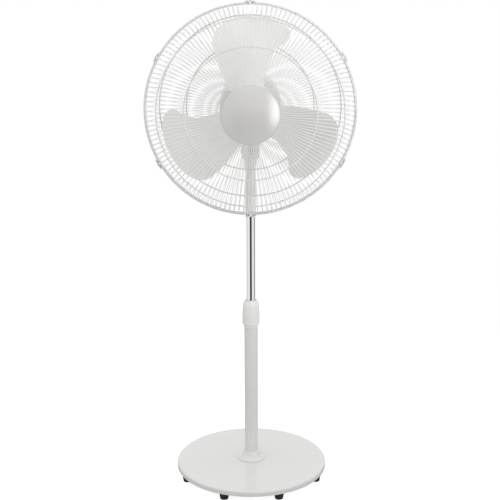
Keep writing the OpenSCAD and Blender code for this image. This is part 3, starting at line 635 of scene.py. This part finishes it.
baseSizes = {"crown": 0.003, "wall": 0.0015, "edge": 0.005, "flat": 0.04, "hole": 0.0053}


def makeBaseCover():
    low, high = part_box("base_cover")
    outer = high.x
    wall, edge = baseSizes["wall"], baseSizes["edge"]
    rimTop = high.z - baseSizes["crown"]
    outline = [(baseSizes["hole"], high.z), (baseSizes["hole"], high.z - wall),
               (baseSizes["flat"], high.z - wall), (outer - wall, rimTop - wall), (outer - wall, low.z),
               (outer, low.z), (outer, rimTop), (baseSizes["flat"], high.z)]
    outline = filletted(outline, [0, 0, 0.02, edge - wall, 0.0004, 0.0006, edge, 0.02], 8)
    piece = turned("baseCover", outline, aroundZ, 192, 50)
    finished(piece, whitePaint, "stand", ["base_cover"])


flangeSizes = {"play": 0.00005, "rim": 0.0025, "fillet": 0.0065, "filletShare": 0.42, "neck": 0.0022, "top": 0.0012}


def makeFlange():
    low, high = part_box("tube_flange")
    outer, bore = high.x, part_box("lower_tube")[1].x + flangeSizes["play"]
    height = high.z - low.z
    outline = [(bore, low.z), (outer, low.z), (outer, low.z + flangeSizes["rim"]),
               (bore + flangeSizes["fillet"], low.z + flangeSizes["filletShare"] * height),
               (bore + flangeSizes["neck"], high.z - 0.002), (bore + flangeSizes["top"], high.z), (bore, high.z)]
    outline = filletted(outline, [0, 0.0004, 0.0012, 0.016, 0.006, 0.0005, 0], 8)
    piece = turned("tubeFlange", outline, aroundZ, 96, 60)
    finished(piece, whitePaint, "stand", ["tube_flange"])


footSizes = {"count": 8, "top": 0.013, "floor": 0.010, "groove": 0.0006, "stud": 0.004}


def makeFeet():
    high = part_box("base_feet")[1]
    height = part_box("base_plate")[0].z
    # the widest reach in x is that of the foot at half a step from the X axis
    halfStep = math.pi / footSizes["count"]
    ringRadius = (high.x - footSizes["top"]) / math.cos(halfStep)
    top, bottom, groove = footSizes["top"], footSizes["floor"], footSizes["groove"]

    def side(t):
        return bottom + (top - bottom) * t

    outline = [(0, 0.0012), (bottom - 0.005, 0.0012), (bottom - 0.0042, 0), (side(0), 0), (side(0.3), 0.3 * height),
               (side(0.34) - groove, 0.34 * height), (side(0.38), 0.38 * height), (side(0.97), 0.97 * height),
               (side(1) - 0.0008, height), (footSizes["stud"], height), (footSizes["stud"], high.z), (0, high.z)]
    outline = filletted(outline, [0, 0.0003, 0.0003, 0.0015, 0.0003, 0.0003, 0.0003, 0.0006, 0.0003, 0, 0.001, 0], 4)
    unit = turned("footUnit", outline, lambda x, y, z: Vector((x + ringRadius, y, z)), 40, 40)
    piece = repeated(unit, footSizes["count"], (0, 0, 0), blackRubber, halfStep, (0, 0, 1), angle=40)
    piece.name = "baseFeet"
    finished(piece, blackRubber, "stand", ["base_feet"])


makeBaseCover()
makeFlange()
makeFeet()
print("base done")


# ---------- height collar ----------

collarSizes = {"bore": 0.0178, "lip": 0.0187, "lipHeight": 0.007, "ribs": 28}


def makeCollar():
    low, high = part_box("height_collar")
    outer = high.x
    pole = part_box("chrome_pole")[1].x
    lip = low.z + collarSizes["lipHeight"]
    outline = [(collarSizes["bore"], low.z), (collarSizes["lip"], low.z), (collarSizes["lip"], lip),
               (outer, lip + 0.0015), (outer, low.z + 0.038), (outer - 0.0015, high.z - 0.0115),
               (pole + 0.0048, high.z - 0.002), (pole + 0.0038, high.z), (pole + 0.0004, high.z),
               (pole + 0.0004, high.z - 0.006), (pole + 0.002, high.z - 0.0075),
               (collarSizes["bore"], high.z - 0.0184)]
    outline = filletted(outline, [0.0003, 0.0004, 0.0006, 0.0006, 0.003, 0.002, 0.001, 0.0006, 0.0006, 0, 0, 0], 4)
    body = turned("collarBody", outline, aroundZ, 128, 60)
    ribLow, ribHigh = lip + 0.005, low.z + 0.035
    unit = turned("ribUnit", filletted([(0, ribLow), (0.0011, ribLow), (0.0011, ribHigh), (0, ribHigh)],
                                       [0, 0.001, 0.001, 0], 3),
                  lambda x, y, z: Vector((outer - 0.0012 + 0.45 * x, y, z)), 10, 60)
    ribs = repeated(unit, collarSizes["ribs"], (0, 0, 0), whitePlastic, axis=(0, 0, 1), angle=60)
    piece = joined("heightCollar", [body, ribs])
    finished(piece, whitePlastic, "collar", ["height_collar"])


makeCollar()


# ---------- neck ----------

neckSizes = {"lowRadius": 0.0136, "topRadius": 0.0125, "flare": 0.0015, "edge": 0.0009, "tongue": 0.0125,
             "slotPlay": 0.0005, "boltRecess": 0.0044, "recessRadius": 0.0074, "boltRadius": 0.00405,
             "back": 0.024, "corner": 0.005, "socket": 0.07, "socketPlay": 0.00005}


def loft(name, rings, angle=32):
    count = len(rings[0])
    points = [p for ring in rings for p in ring]
    faces = []
    for r in range(len(rings) - 1):
        for i in range(count):
            j = (i + 1) % count
            faces.append((r * count + i, r * count + j, (r + 1) * count + j, (r + 1) * count + i))
    faces.append(tuple(range(count - 1, -1, -1)))
    faces.append(tuple((len(rings) - 1) * count + i for i in range(count)))
    return addObject(name, meshFrom(name, points, faces, angle))


def roundedRing(halfX, front, back, corner, z, count=64):
    # a rounded rectangle, or a circle when the corner is as large as the half width
    middleY, halfY = (back + front) / 2, (back - front) / 2
    corner = min(corner, halfX, halfY)
    ring = []
    for i in range(count):
        a = 2 * math.pi * (i + 0.5) / count
        signX = 1 if math.cos(a) > 0 else -1
        signY = 1 if math.sin(a) > 0 else -1
        ring.append((signX * (halfX - corner) + corner * math.cos(a),
                     middleY + signY * (halfY - corner) + corner * math.sin(a), z))
    return ring


def makeNeck():
    low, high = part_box("neck")
    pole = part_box("chrome_pole")[1].x
    pinZ = middleOf("tilt_bolt").z
    cheek = -low.y
    floorZ = pinZ - cheek - 0.0015
    halfFork = high.x
    tongue = neckSizes["tongue"] + neckSizes["slotPlay"]
    back, corner = neckSizes["back"], neckSizes["corner"]
    lowR, topR, flare = neckSizes["lowRadius"], neckSizes["topRadius"], neckSizes["flare"]
    rings = []
    for z, r in ((0, lowR + flare - 0.0003), (0.0006, lowR + flare), (0.005, lowR + flare), (0.007, lowR),
                 (0.014, lowR), (0.027, (lowR + topR) / 2 + 0.0002), (0.040, topR + 0.0003), (0.060, topR)):
        rings.append(roundedRing(r, -r, r, r, low.z + z))
    wide = cheek - 0.0003
    for i in range(15):
        t = i / 14
        r = topR + (wide - topR) * (0.25 * t + 0.75 * t ** 2.4)
        rings.append(roundedRing(r, -r, r, r, floorZ - 0.058 + 0.047 * t))
    for t in (0.25, 0.5, 0.75, 1.0):
        rings.append(roundedRing(wide + (halfFork - wide) * t, -wide - (cheek - wide) * t, wide + (back - wide) * t,
                                 wide + (corner - wide) * t, floorZ - 0.011 + 0.007 * t))
    rings.append(roundedRing(halfFork, -cheek, back, corner, floorZ))
    body = loft("neckBody", rings, 40)
    cheekSteps = 40
    outline = [(-cheek, floorZ - 0.012), (cheek, floorZ - 0.012)]
    outline += [(cheek * math.cos(math.pi * i / cheekSteps), pinZ + cheek * math.sin(math.pi * i / cheekSteps))
                for i in range(cheekSteps + 1)]
    boolean(body, prism("neckCheeks", outline, lambda y, z, end: (end * halfFork, y, z)), "UNION")
    slotOutline = [(-0.05, floorZ), (0.002, floorZ), (0.06, floorZ - 0.031), (0.06, pinZ + 0.05),
                   (-0.05, pinZ + 0.05)]
    boolean(body, prism("slotCutter", slotOutline, lambda y, z, end: (end * tongue, y, z)))
    for side in (-1, 1):
        def inward(x, y, along):
            return Vector((side * (halfFork - along), x, pinZ + y))

        drilled(body, neckSizes["recessRadius"], -0.01, neckSizes["boltRecess"], inward, 48)
        drilled(body, neckSizes["boltRadius"], -0.01, 0.02, inward)
    drilled(body, pole + neckSizes["socketPlay"], low.z - 0.01, low.z + neckSizes["socket"], aroundZ, 96)
    bevelled(body, neckSizes["edge"], 3, 38)
    body.name = "neckColumn"
    finished(body, whitePlastic, "pole", ["neck"])


makeNeck()
print("neck done")


# ---------- fan wheel ----------

wheelSizes = {"count": 3, "rows": 44, "columns": 34, "rootThickness": 0.0032, "hubRadius": 0.052, "tipRadius": 0.216,
              "tipBow": 0.0255, "camber": 0.022, "bladePlane": 0.030, "hubDepth": 0.050, "hubWall": 0.0025,
              "frontWall": 0.003, "bossRadius": 0.009, "boss": 0.024, "bore": 0.0041, "ribs": 12, "ribHalf": 0.0009}


def bezier(p, t):
    s = 1 - t
    return [s ** 3 * p[0][k] + 3 * s * s * t * p[1][k] + 3 * s * t * t * p[2][k] + t ** 3 * p[3][k] for k in (0, 1)]


def cornerRound(s, v, s0, v0):
    # rounds the outer corner at (1, 1) of the unit square, from (s0, v0) on
    if s < s0 or v < v0:
        return s, v
    a, b = (s - s0) / (1 - s0), (v - v0) / (1 - v0)
    return (s0 + (1 - s0) * a * math.sqrt(1 - b * b / 2), v0 + (1 - v0) * b * math.sqrt(1 - a * a / 2))


def bladePoint(s, u, side):
    # s runs from root to tip, u from the trailing to the leading edge
    edge = 1 - abs(2 * u - 1) ** 10
    tipEdge = 1 - s ** 24
    thick = wheelSizes["rootThickness"] * (1 - 0.4 * s) / 2 * math.sqrt(max(0.0, edge * tipEdge))
    if u > 0.5:
        s, u = cornerRound(s, u, 0.87, 0.85)
    else:
        s, v = cornerRound(s, 1 - u, 0.92, 0.9)
        u = 1 - v
    hub, tip = wheelSizes["hubRadius"], wheelSizes["tipRadius"]
    trail = [(hub - 0.006, 47), (0.090, 38), (0.140, 33), (tip - 0.024, 27)]
    lead = [(hub - 0.006, -38), (0.085, -14), (0.140, -17), (tip - 0.027, -33.5)]
    a, b = bezier(trail, s), bezier(lead, s)
    radius = (1 - u) * a[0] + u * b[0] + wheelSizes["tipBow"] * s ** 4 * (1 - abs(2 * u - 1) ** 3)
    degrees = (1 - u) * a[1] + u * b[1]
    pitch = 0.00075 + 0.0004 * min(1, max(0, (radius - 0.055) / 0.095))
    along = -pitch * degrees + wheelSizes["camber"] * u * (1 - u) + side * thick
    angle = rad(90 + degrees)
    return Vector((radius * math.cos(angle), along, radius * math.sin(angle)))


def makeWheel():
    headZ = middleOf("blade_nut").z
    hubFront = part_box("blade_nut")[1].y
    rows, columns = wheelSizes["rows"], wheelSizes["columns"]
    # columns crowd towards the edges, so that the rounded edges stay smooth
    us = [0.5 - 0.5 * math.cos(math.pi * j / columns) for j in range(columns + 1)]
    ss = [math.sin(math.pi / 2 * i / rows) for i in range(rows + 1)]
    width = columns + 1
    points, faces = [], []
    for side in (-1, 1):
        points += [bladePoint(s, u, side) for s in ss for u in us]
    half = len(ss) * width
    for i in range(rows):
        for j in range(columns):
            a, b, c, d = i * width + j, i * width + j + 1, (i + 1) * width + j + 1, (i + 1) * width + j
            faces.append((a, d, c, b))
            faces.append((half + a, half + b, half + c, half + d))
    loop = [(0, j) for j in range(width)] + [(i, columns) for i in range(1, rows + 1)]
    loop += [(rows, j) for j in range(columns - 1, -1, -1)] + [(i, 0) for i in range(rows - 1, 0, -1)]
    for k, (i, j) in enumerate(loop):
        m, n = loop[(k + 1) % len(loop)]
        a, b = i * width + j, m * width + n
        faces.append((a, b, half + b, half + a))
    shift = Vector((0, hubFront + wheelSizes["bladePlane"], 0))
    unit = addObject("bladeUnit", meshFrom("bladeUnit", [p + shift for p in points], faces, 60))
    blades = repeated(unit, wheelSizes["count"], (0, 0, headZ), bladePlastic, angle=60)
    hub, wall, boss, bore = (wheelSizes[k] for k in ("hubRadius", "hubWall", "bossRadius", "bore"))
    back, inside, bossEnd = (hubFront + wheelSizes[k] for k in ("hubDepth", "frontWall", "boss"))
    outline = [(bore, hubFront), (hub - 0.008, hubFront), (hub, hubFront + 0.008), (hub, back), (hub - wall, back),
               (hub - wall, hubFront + 0.009), (hub - 0.009, inside), (boss, inside), (boss, bossEnd),
               (bore, bossEnd)]
    outline = filletted(outline, [0, 0.006, 0.008, 0.0005, 0.0005, 0.004, 0.004, 0.001, 0.0004, 0.0004], 6)
    drum = turned("hubDrum", outline, headAxis(headZ), 96, 40)
    half = wheelSizes["ribHalf"]
    rib = boxMesh("hubRib", (boss, hubFront + 0.0025, -half), (hub - 0.002, hubFront + 0.016, half))
    ribs = repeated(rib, wheelSizes["ribs"], (0, 0, headZ), bladePlastic)
    piece = joined("fanWheel", [blades, drum, ribs])
    smoothMesh(piece.data, 60)
    finished(piece, bladePlastic, "rotor", ["blade"])


def makeBladeNut():
    low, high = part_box("blade_nut")
    headZ = (low.z + high.z) / 2
    front, back = low.y, high.y
    outline = [(0, front), (0.006, front + 0.001), (0.008, front + 0.006), (0.014, back - 0.0025), (0.014, back),
               (0.00405, back), (0.00405, front + 0.003), (0, front + 0.003)]
    outline = filletted(outline, [0, 0.002, 0.004, 0.001, 0.0003, 0, 0, 0], 5)
    body = turned("nutBody", outline, headAxis(headZ), 64, 50)
    outline = filletted([(0, 0), (0.0011, 0), (0.0011, 0.0075), (0, 0.0075)], [0, 0.0008, 0.0008, 0], 3)
    grip = turned("nutGrip", outline, lambda x, y, along: Vector((0.0094 + x, back - 0.0105 + along, y)), 10)
    grips = repeated(grip, 10, (0, 0, headZ), bladePlastic)
    piece = joined("bladeNut", [body, grips])
    finished(piece, bladePlastic, "rotor", ["blade_nut"])


makeWheel()
makeBladeNut()
print("fan wheel done")


# ---------- guards ----------

guardSizes = {"wires": 132, "wire": 0.00085, "ring": 0.0016, "rim": 0.003, "bend": 0.05, "fall": 4, "lean": 10,
              "innerRing": 0.1526, "outerRing": 0.2167, "startInset": 0.007, "weld": 0.0002}


def makeGuard(side):
    # side is -1 for the front guard and 1 for the rear one
    prefix = "front" if side < 0 else "rear"
    ringLow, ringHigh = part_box(prefix + "_guard_rings")
    wireLow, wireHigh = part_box(prefix + "_guard_wires")
    headZ = (ringLow.z + ringHigh.z) / 2
    rim, wire, ring = guardSizes["rim"], guardSizes["wire"], guardSizes["ring"]
    middle = ringHigh.x - rim
    rimY = (ringHigh.y - rim) if side < 0 else (ringLow.y + rim)
    depth = (rimY - wireLow.y if side < 0 else wireHigh.y - rimY) - wire
    fall, lean, bend = rad(guardSizes["fall"]), rad(guardSizes["lean"]), guardSizes["bend"]
    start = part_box("badge_cap")[1].x - guardSizes["startInset"]
    height = (depth - (middle - start) * math.tan(fall)) / (1 - math.tan(lean) * math.tan(fall))
    corner = Vector((middle - height * math.tan(lean), height))
    tangent = bend * math.tan((math.pi / 2 - lean - fall) / 2)
    bendStart = corner + tangent * Vector((-math.cos(fall), math.sin(fall)))
    centre = bendStart - bend * Vector((math.sin(fall), math.cos(fall)))
    path = [Vector((start, depth))]
    path += [path[0].lerp(bendStart, t) for t in (0.25, 0.5, 0.75)]
    steps = 12
    for k in range(steps + 1):
        a = math.pi / 2 - fall - (math.pi / 2 - lean - fall) * k / steps
        path.append(centre + bend * Vector((math.cos(a), math.sin(a))))
    end = Vector((middle, 0)) + (rim - guardSizes["weld"]) * Vector((-math.sin(lean), math.cos(lean)))
    path.append(end)
    mesh = bpy.data.meshes.new(prefix + "WirePath")
    mesh.from_pydata([(p.x, rimY + side * p.y, 0) for p in path], [(i, i + 1) for i in range(len(path) - 1)], [])
    wires = repeated(addObject(prefix + "GuardWires", mesh), guardSizes["wires"], (0, 0, headZ), wirePaint,
                     math.pi / guardSizes["wires"], wireRadius=wire, angle=50)
    finished(wires, wirePaint, "head", [prefix + "_guard_wires"])
    sink = wire + ring - guardSizes["weld"]
    turn = math.acos((guardSizes["outerRing"] - centre.x) / bend)
    inner = guardSizes["innerRing"]
    spots = [(middle, 0, rim),
             (inner - sink * math.sin(fall), depth - (inner - start) * math.tan(fall) - sink * math.cos(fall), ring),
             (centre.x + (bend - sink) * math.cos(turn), centre.y + (bend - sink) * math.sin(turn), ring)]
    rings = []
    # the rings take the darker copy of the wire paint, painted shade standing in for the shading on the thick rings
    for k, (radius, along, section) in enumerate(spots):
        holder = addObject("%sRing%d" % (prefix, k), bpy.data.meshes.new("ring"))
        rings.append(runTree(holder, wireRing, {"Ring radius": radius, "Wire radius": section, "Material": shadedRingPaint,
                                                "Centre": (0, rimY + side * along, headZ)}, 50))
    piece = joined(prefix + "GuardRings", rings)
    smoothMesh(piece.data, 60)
    finished(piece, shadedRingPaint, "head", [prefix + "_guard_rings"])


makeGuard(-1)
makeGuard(1)
print("guards done")


# ---------- badge cap ----------

capSizes = {"rimStep": 0.0022, "wall": 0.002, "lift": 0.0016, "steps": 28}


def makeCap():
    low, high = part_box("badge_cap")
    headZ = (low.z + high.z) / 2
    outer, rise = high.x, high.y - low.y
    inner = outer - capSizes["rimStep"]
    lift, wall, steps = capSizes["lift"], capSizes["wall"], capSizes["steps"]
    dome = (inner * inner + (rise - lift) ** 2) / (2 * (rise - lift))
    half = math.asin(inner / dome)
    turns = [half * k / steps for k in range(steps + 1)]
    outline = [(dome * math.sin(a), low.y + dome - dome * math.cos(a)) for a in turns]
    outline += [(inner + 0.0004, high.y - lift + 0.0003), (outer - 0.0004, high.y - lift + 0.0004),
                (outer, high.y - lift + 0.0008), (outer, high.y), (outer - 0.0026, high.y)]
    outline += [((dome - wall) * math.sin(a) * 0.96, min(high.y, low.y + dome - (dome - wall) * math.cos(a)))
                for a in reversed(turns)]
    piece = turned("badgeCap", outline, headAxis(headZ), 160, 50)
    finished(piece, capPlastic, "head", ["badge_cap"])


makeCap()


# ---------- motor housing ----------

housing = {"wall": 0.002, "vents": 6, "ventLength": 0.032, "ventWidth": 0.004, "rearVents": 6, "rearVentStart": 20,
           "rearVentStep": 10, "rearVentReach": 0.039, "shoulder": 0.024, "rise": 0.042}


def slotCutter(name, length, width, depth, place):
    # a slot with round ends; place maps along, across, through to the frame
    outline = []
    for k in range(9):
        a = -math.pi / 2 + math.pi * k / 8
        outline.append((length / 2 - width / 2 + width / 2 * math.cos(a), width / 2 * math.sin(a)))
    for k in range(9):
        a = math.pi / 2 + math.pi * k / 8
        outline.append((-length / 2 + width / 2 + width / 2 * math.cos(a), width / 2 * math.sin(a)))
    return prism(name, outline, lambda u, v, end: place(u, v, end * depth / 2))


def bellyCutter(headZ, radius):
    return boxMesh("bellyCutter", (-0.026, middleOf("pan_bush").y - 0.018, headZ - radius - 0.01),
                   (0.026, middleOf("crank_disc").y + 0.021, headZ - radius + 0.014))


def makeShroud():
    low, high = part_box("motor_shroud")
    headZ = middleOf("badge_cap").z
    radius, wall = high.x, housing["wall"]
    face = low.y + 0.013
    outline = [(0.024, low.y), (0.024, face), (radius, face), (radius, high.y), (radius - wall, high.y),
               (radius - wall, face + wall), (0.021, face + wall), (0.021, low.y + 0.002), (0.009, low.y + 0.002),
               (0.009, low.y)]
    outline = filletted(outline, [0.0008, 0.0008, 0.006, 0.0005, 0.0004, 0.004, 0.001, 0.001, 0.0004, 0.0004], 6)
    piece = turned("motorShroud", outline, headAxis(headZ), 128, 40)
    boolean(piece, bellyCutter(headZ, radius))
    finished(piece, whitePaint, "head", ["motor_shroud"])


def makeRearCover():
    low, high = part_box("rear_cover")
    headZ = middleOf("badge_cap").z
    radius, wall = high.x, housing["wall"]
    shoulder, rise = housing["shoulder"], housing["rise"]
    dome = high.y - rise
    outline = [(radius, low.y + 0.0006), (radius - 0.0006, low.y + 0.0012), (radius, low.y + 0.0018), (radius, dome)]
    for k in range(1, 23):
        a = rad(4 * k)
        outline.append((radius - shoulder + shoulder * math.cos(a), dome + rise * math.sin(a)))
    outline += [(radius - 0.028, high.y), (0, high.y), (0, high.y - wall), (radius - 0.028, high.y - wall)]
    for k in range(22, 0, -1):
        a = rad(4 * k)
        outline.append((radius - shoulder + (shoulder - wall) * math.cos(a), dome + (rise - wall) * math.sin(a)))
    outline += [(radius - wall, dome), (radius - wall, low.y), (radius, low.y)]
    piece = turned("rearCover", outline, headAxis(headZ), 128, 40)
    boolean(piece, bellyCutter(headZ, radius))
    for side in (-1, 1):
        for k in range(housing["vents"]):
            y = low.y + 0.006 + (2 * k + 0.5) * housing["ventWidth"]
            boolean(piece, slotCutter("ventCutter", housing["ventLength"], housing["ventWidth"], 0.03,
                                      lambda u, v, w: Vector((side * (radius + w - 0.004), y + v, headZ + u))))
    for quarter in range(4):
        for k in range(housing["rearVents"]):
            a = rad(90 * quarter + housing["rearVentStart"] + housing["rearVentStep"] * k)
            c, n, reach = math.cos(a), math.sin(a), housing["rearVentReach"]
            boolean(piece, slotCutter("rearVentCutter", 0.012, 0.003, 0.04, lambda u, v, w: Vector(
                ((reach + u) * c - v * n, high.y + w, headZ + (reach + u) * n + v * c))))
    knob = middleOf("osc_knob")
    drilled(piece, 0.0036, headZ, headZ + 0.2, lambda x, y, along: Vector((knob.x + x, knob.y + y, along)))
    for name, radius in (("speed_knob", 0.004), ("cable_gland", 0.0046)):
        drilled(piece, radius, high.y - 0.01, high.y + 0.01, headAxis(middleOf(name).z))
    finished(piece, whitePaint, "head", ["rear_cover"])


def makeCoverScrews():
    low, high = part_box("cover_screws")
    headZ = (low.z + high.z) / 2
    reach = high.x - 0.0038
    back = high.y
    outline = filletted([(0, low.y), (0.0012, low.y), (0.002, low.y + 0.003), (0.002, back - 0.0022),
                         (0.0038, back - 0.0022), (0.0036, back - 0.0006), (0.002, back), (0, back)],
                        [0, 0, 0, 0, 0.0003, 0.0008, 0.0006, 0], 4)
    unit = turned("screwUnit", outline, lambda x, y, along: Vector((reach + x, along, y)), 40)
    for size in ((0.0022, 0.0004), (0.0004, 0.0022)):
        boolean(unit, boxMesh("driveCutter", (reach - size[0], back - 0.0012, -size[1]),
                              (reach + size[0], back + 0.001, size[1])))
    piece = repeated(unit, 2, (0, 0, headZ), zincSteel)
    piece.name = "coverScrews"
    finished(piece, zincSteel, "head", ["cover_screws"])


def makeDial():
    low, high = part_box("speed_knob")
    x0, z0 = (low.x + high.x) / 2, (low.z + high.z) / 2
    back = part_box("rear_cover")[1].y
    radius = (high.x - low.x) / 2
    outline = filletted([(0, low.y), (0.0034, low.y), (0.0034, back + 0.001), (radius, back + 0.001),
                         (radius - 0.0006, back + 0.006), (0, back + 0.006)],
                        [0, 0.0003, 0, 0.0006, 0.0014, 0], 4)
    disc = turned("dialDisc", outline, lambda x, y, along: Vector((x0 + x, along, z0 + y)), 72, 40)
    bar = boxMesh("dialBar", (x0 - 0.0035, back + 0.0052, z0 - 0.0135), (x0 + 0.0035, high.y, z0 + 0.0135))
    bevelled(bar, 0.0014, 3)
    start, end = back + 0.0014, back + 0.0046
    unit = turned("dialRib", [(0, start), (0.0006, start), (0.0006, end), (0, end)],
                  lambda x, y, along: Vector((radius - 0.0006 + x, along, y)), 8)
    ribs = repeated(unit, 40, (x0, 0, z0), whitePlastic)
    piece = joined("speedDial", [disc, bar, ribs])
    finished(piece, whitePlastic, "speed_dial", ["speed_knob"])


def makePullKnob():
    low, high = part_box("osc_knob")
    x0, y0 = (low.x + high.x) / 2, (low.y + high.y) / 2
    outline = filletted([(0, low.z), (0.003, low.z), (0.003, high.z - 0.016), (0.0085, high.z - 0.016),
                         (0.0062, high.z - 0.008), (0.0078, high.z - 0.003), (0.0074, high.z), (0, high.z)],
                        [0, 0.0004, 0, 0.001, 0.005, 0.002, 0.0014, 0], 5)
    piece = turned("pullKnob", outline, lambda x, y, along: Vector((x0 + x, y0 + y, along)), 56, 50)
    finished(piece, whitePlastic, "oscillation_knob", ["osc_knob"])


def makeGland():
    low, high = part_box("cable_gland")
    z0 = (low.z + high.z) / 2
    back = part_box("rear_cover")[1].y
    outline = [(0.0031, low.y), (0.0045, low.y), (0.0045, back - 0.0045), (0.0065, back - 0.0045),
               (0.0065, back - 0.002), (0.0045, back - 0.002), (0.0045, back), (0.0075, back), (0.0075, back + 0.003)]
    for k in range(5):
        y = back + 0.003 + 0.0026 * k
        outline += [(0.0046 - 0.0002 * k, y), (0.0046 - 0.0002 * k, y + 0.0016), (0.0038, y + 0.0018),
                    (0.0038, y + 0.0024)]
    outline += [(0.0037, high.y), (0.0031, high.y)]
    piece = turned("cableGland", outline, headAxis(z0), 40)
    finished(piece, blackPlastic, "head", ["cable_gland"])


def makeGuardNut():
    low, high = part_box("guard_nut")
    headZ = (low.z + high.z) / 2
    outer = high.x
    bore = 0.02405
    outline = filletted([(bore, low.y), (outer, low.y), (outer, high.y), (bore, high.y)],
                        [0.0006, 0.002, 0.001, 0.0004], 4)
    body = turned("guardNut", outline, headAxis(headZ), 120)
    start, end = low.y - 0.002, high.y - 0.003
    unit = turned("gripCutter", [(0, start), (0.003, start), (0.003, end), (0, end)],
                  lambda x, y, along: Vector((outer + 0.0015 + x, along, y)), 24)
    boolean(body, repeated(unit, 12, (0, 0, headZ), whitePlastic))
    finished(body, whitePlastic, "head", ["guard_nut"])


makeShroud()
makeRearCover()
makeCoverScrews()
makeDial()
makePullKnob()
makeGland()
makeGuardNut()
print("motor housing done")


# ---------- rim clips ----------

clipSizes = {"width": 0.024, "finger": 0.007, "thick": 0.0026, "edge": 0.0006, "noseDepth": 0.0022}


def makeClip(number):
    joint = next(j for j in frame["joints"] if j["name"] == "clip_%d_open" % number)
    pivot = Vector(joint["pos_m"])
    along = Vector(joint["axis"]).normalized()
    back = Vector((0, 1, 0))
    out = back.cross(along)
    if out.dot(pivot - Vector((0, pivot.y, middleOf("badge_cap").z))) < 0:
        out = -out
    rim = guardSizes["rim"]
    inner = rim + 0.0008
    outer = inner + clipSizes["thick"]
    nose = 3 * rim + 0.0013 + clipSizes["noseDepth"]

    def place(r, y, t):
        return pivot + out * r + back * y + along * t

    wide, narrow = clipSizes["width"] / 2, clipSizes["finger"] / 2
    bar = boxMesh("clipBar", (inner, -nose, -wide), (outer, 0, wide), place)
    bevelled(bar, 0.0009, 3)
    lip = boxMesh("clipLip", (-rim - 0.0002, -nose, -narrow),
                  (outer - 0.0003, -nose + clipSizes["noseDepth"], narrow), place)
    bevelled(lip, clipSizes["edge"], 2)
    points, faces, steps = [], [], 20
    for k in range(steps + 1):
        a = rad(-6 + 131 * k / steps)
        for r, t in ((inner, -narrow), (outer, -narrow), (outer, narrow), (inner, narrow)):
            points.append(place(r * math.cos(a), r * math.sin(a), t))
    for k in range(steps):
        for i in range(4):
            j = (i + 1) % 4
            faces.append((4 * k + i, 4 * k + j, 4 * k + 4 + j, 4 * k + 4 + i))
    faces += [(3, 2, 1, 0), (4 * steps, 4 * steps + 1, 4 * steps + 2, 4 * steps + 3)]
    hook = addObject("clipHook", meshFrom("clipHook", points, faces, 40))
    bevelled(hook, clipSizes["edge"] * 0.6, 2)
    piece = joined("rimClip%d" % number, [bar, lip, hook])
    finished(piece, whitePlastic, "clip_%d" % number, ["guard_clip_%d" % number])


for number in range(1, 7):
    makeClip(number)
print("clips done")
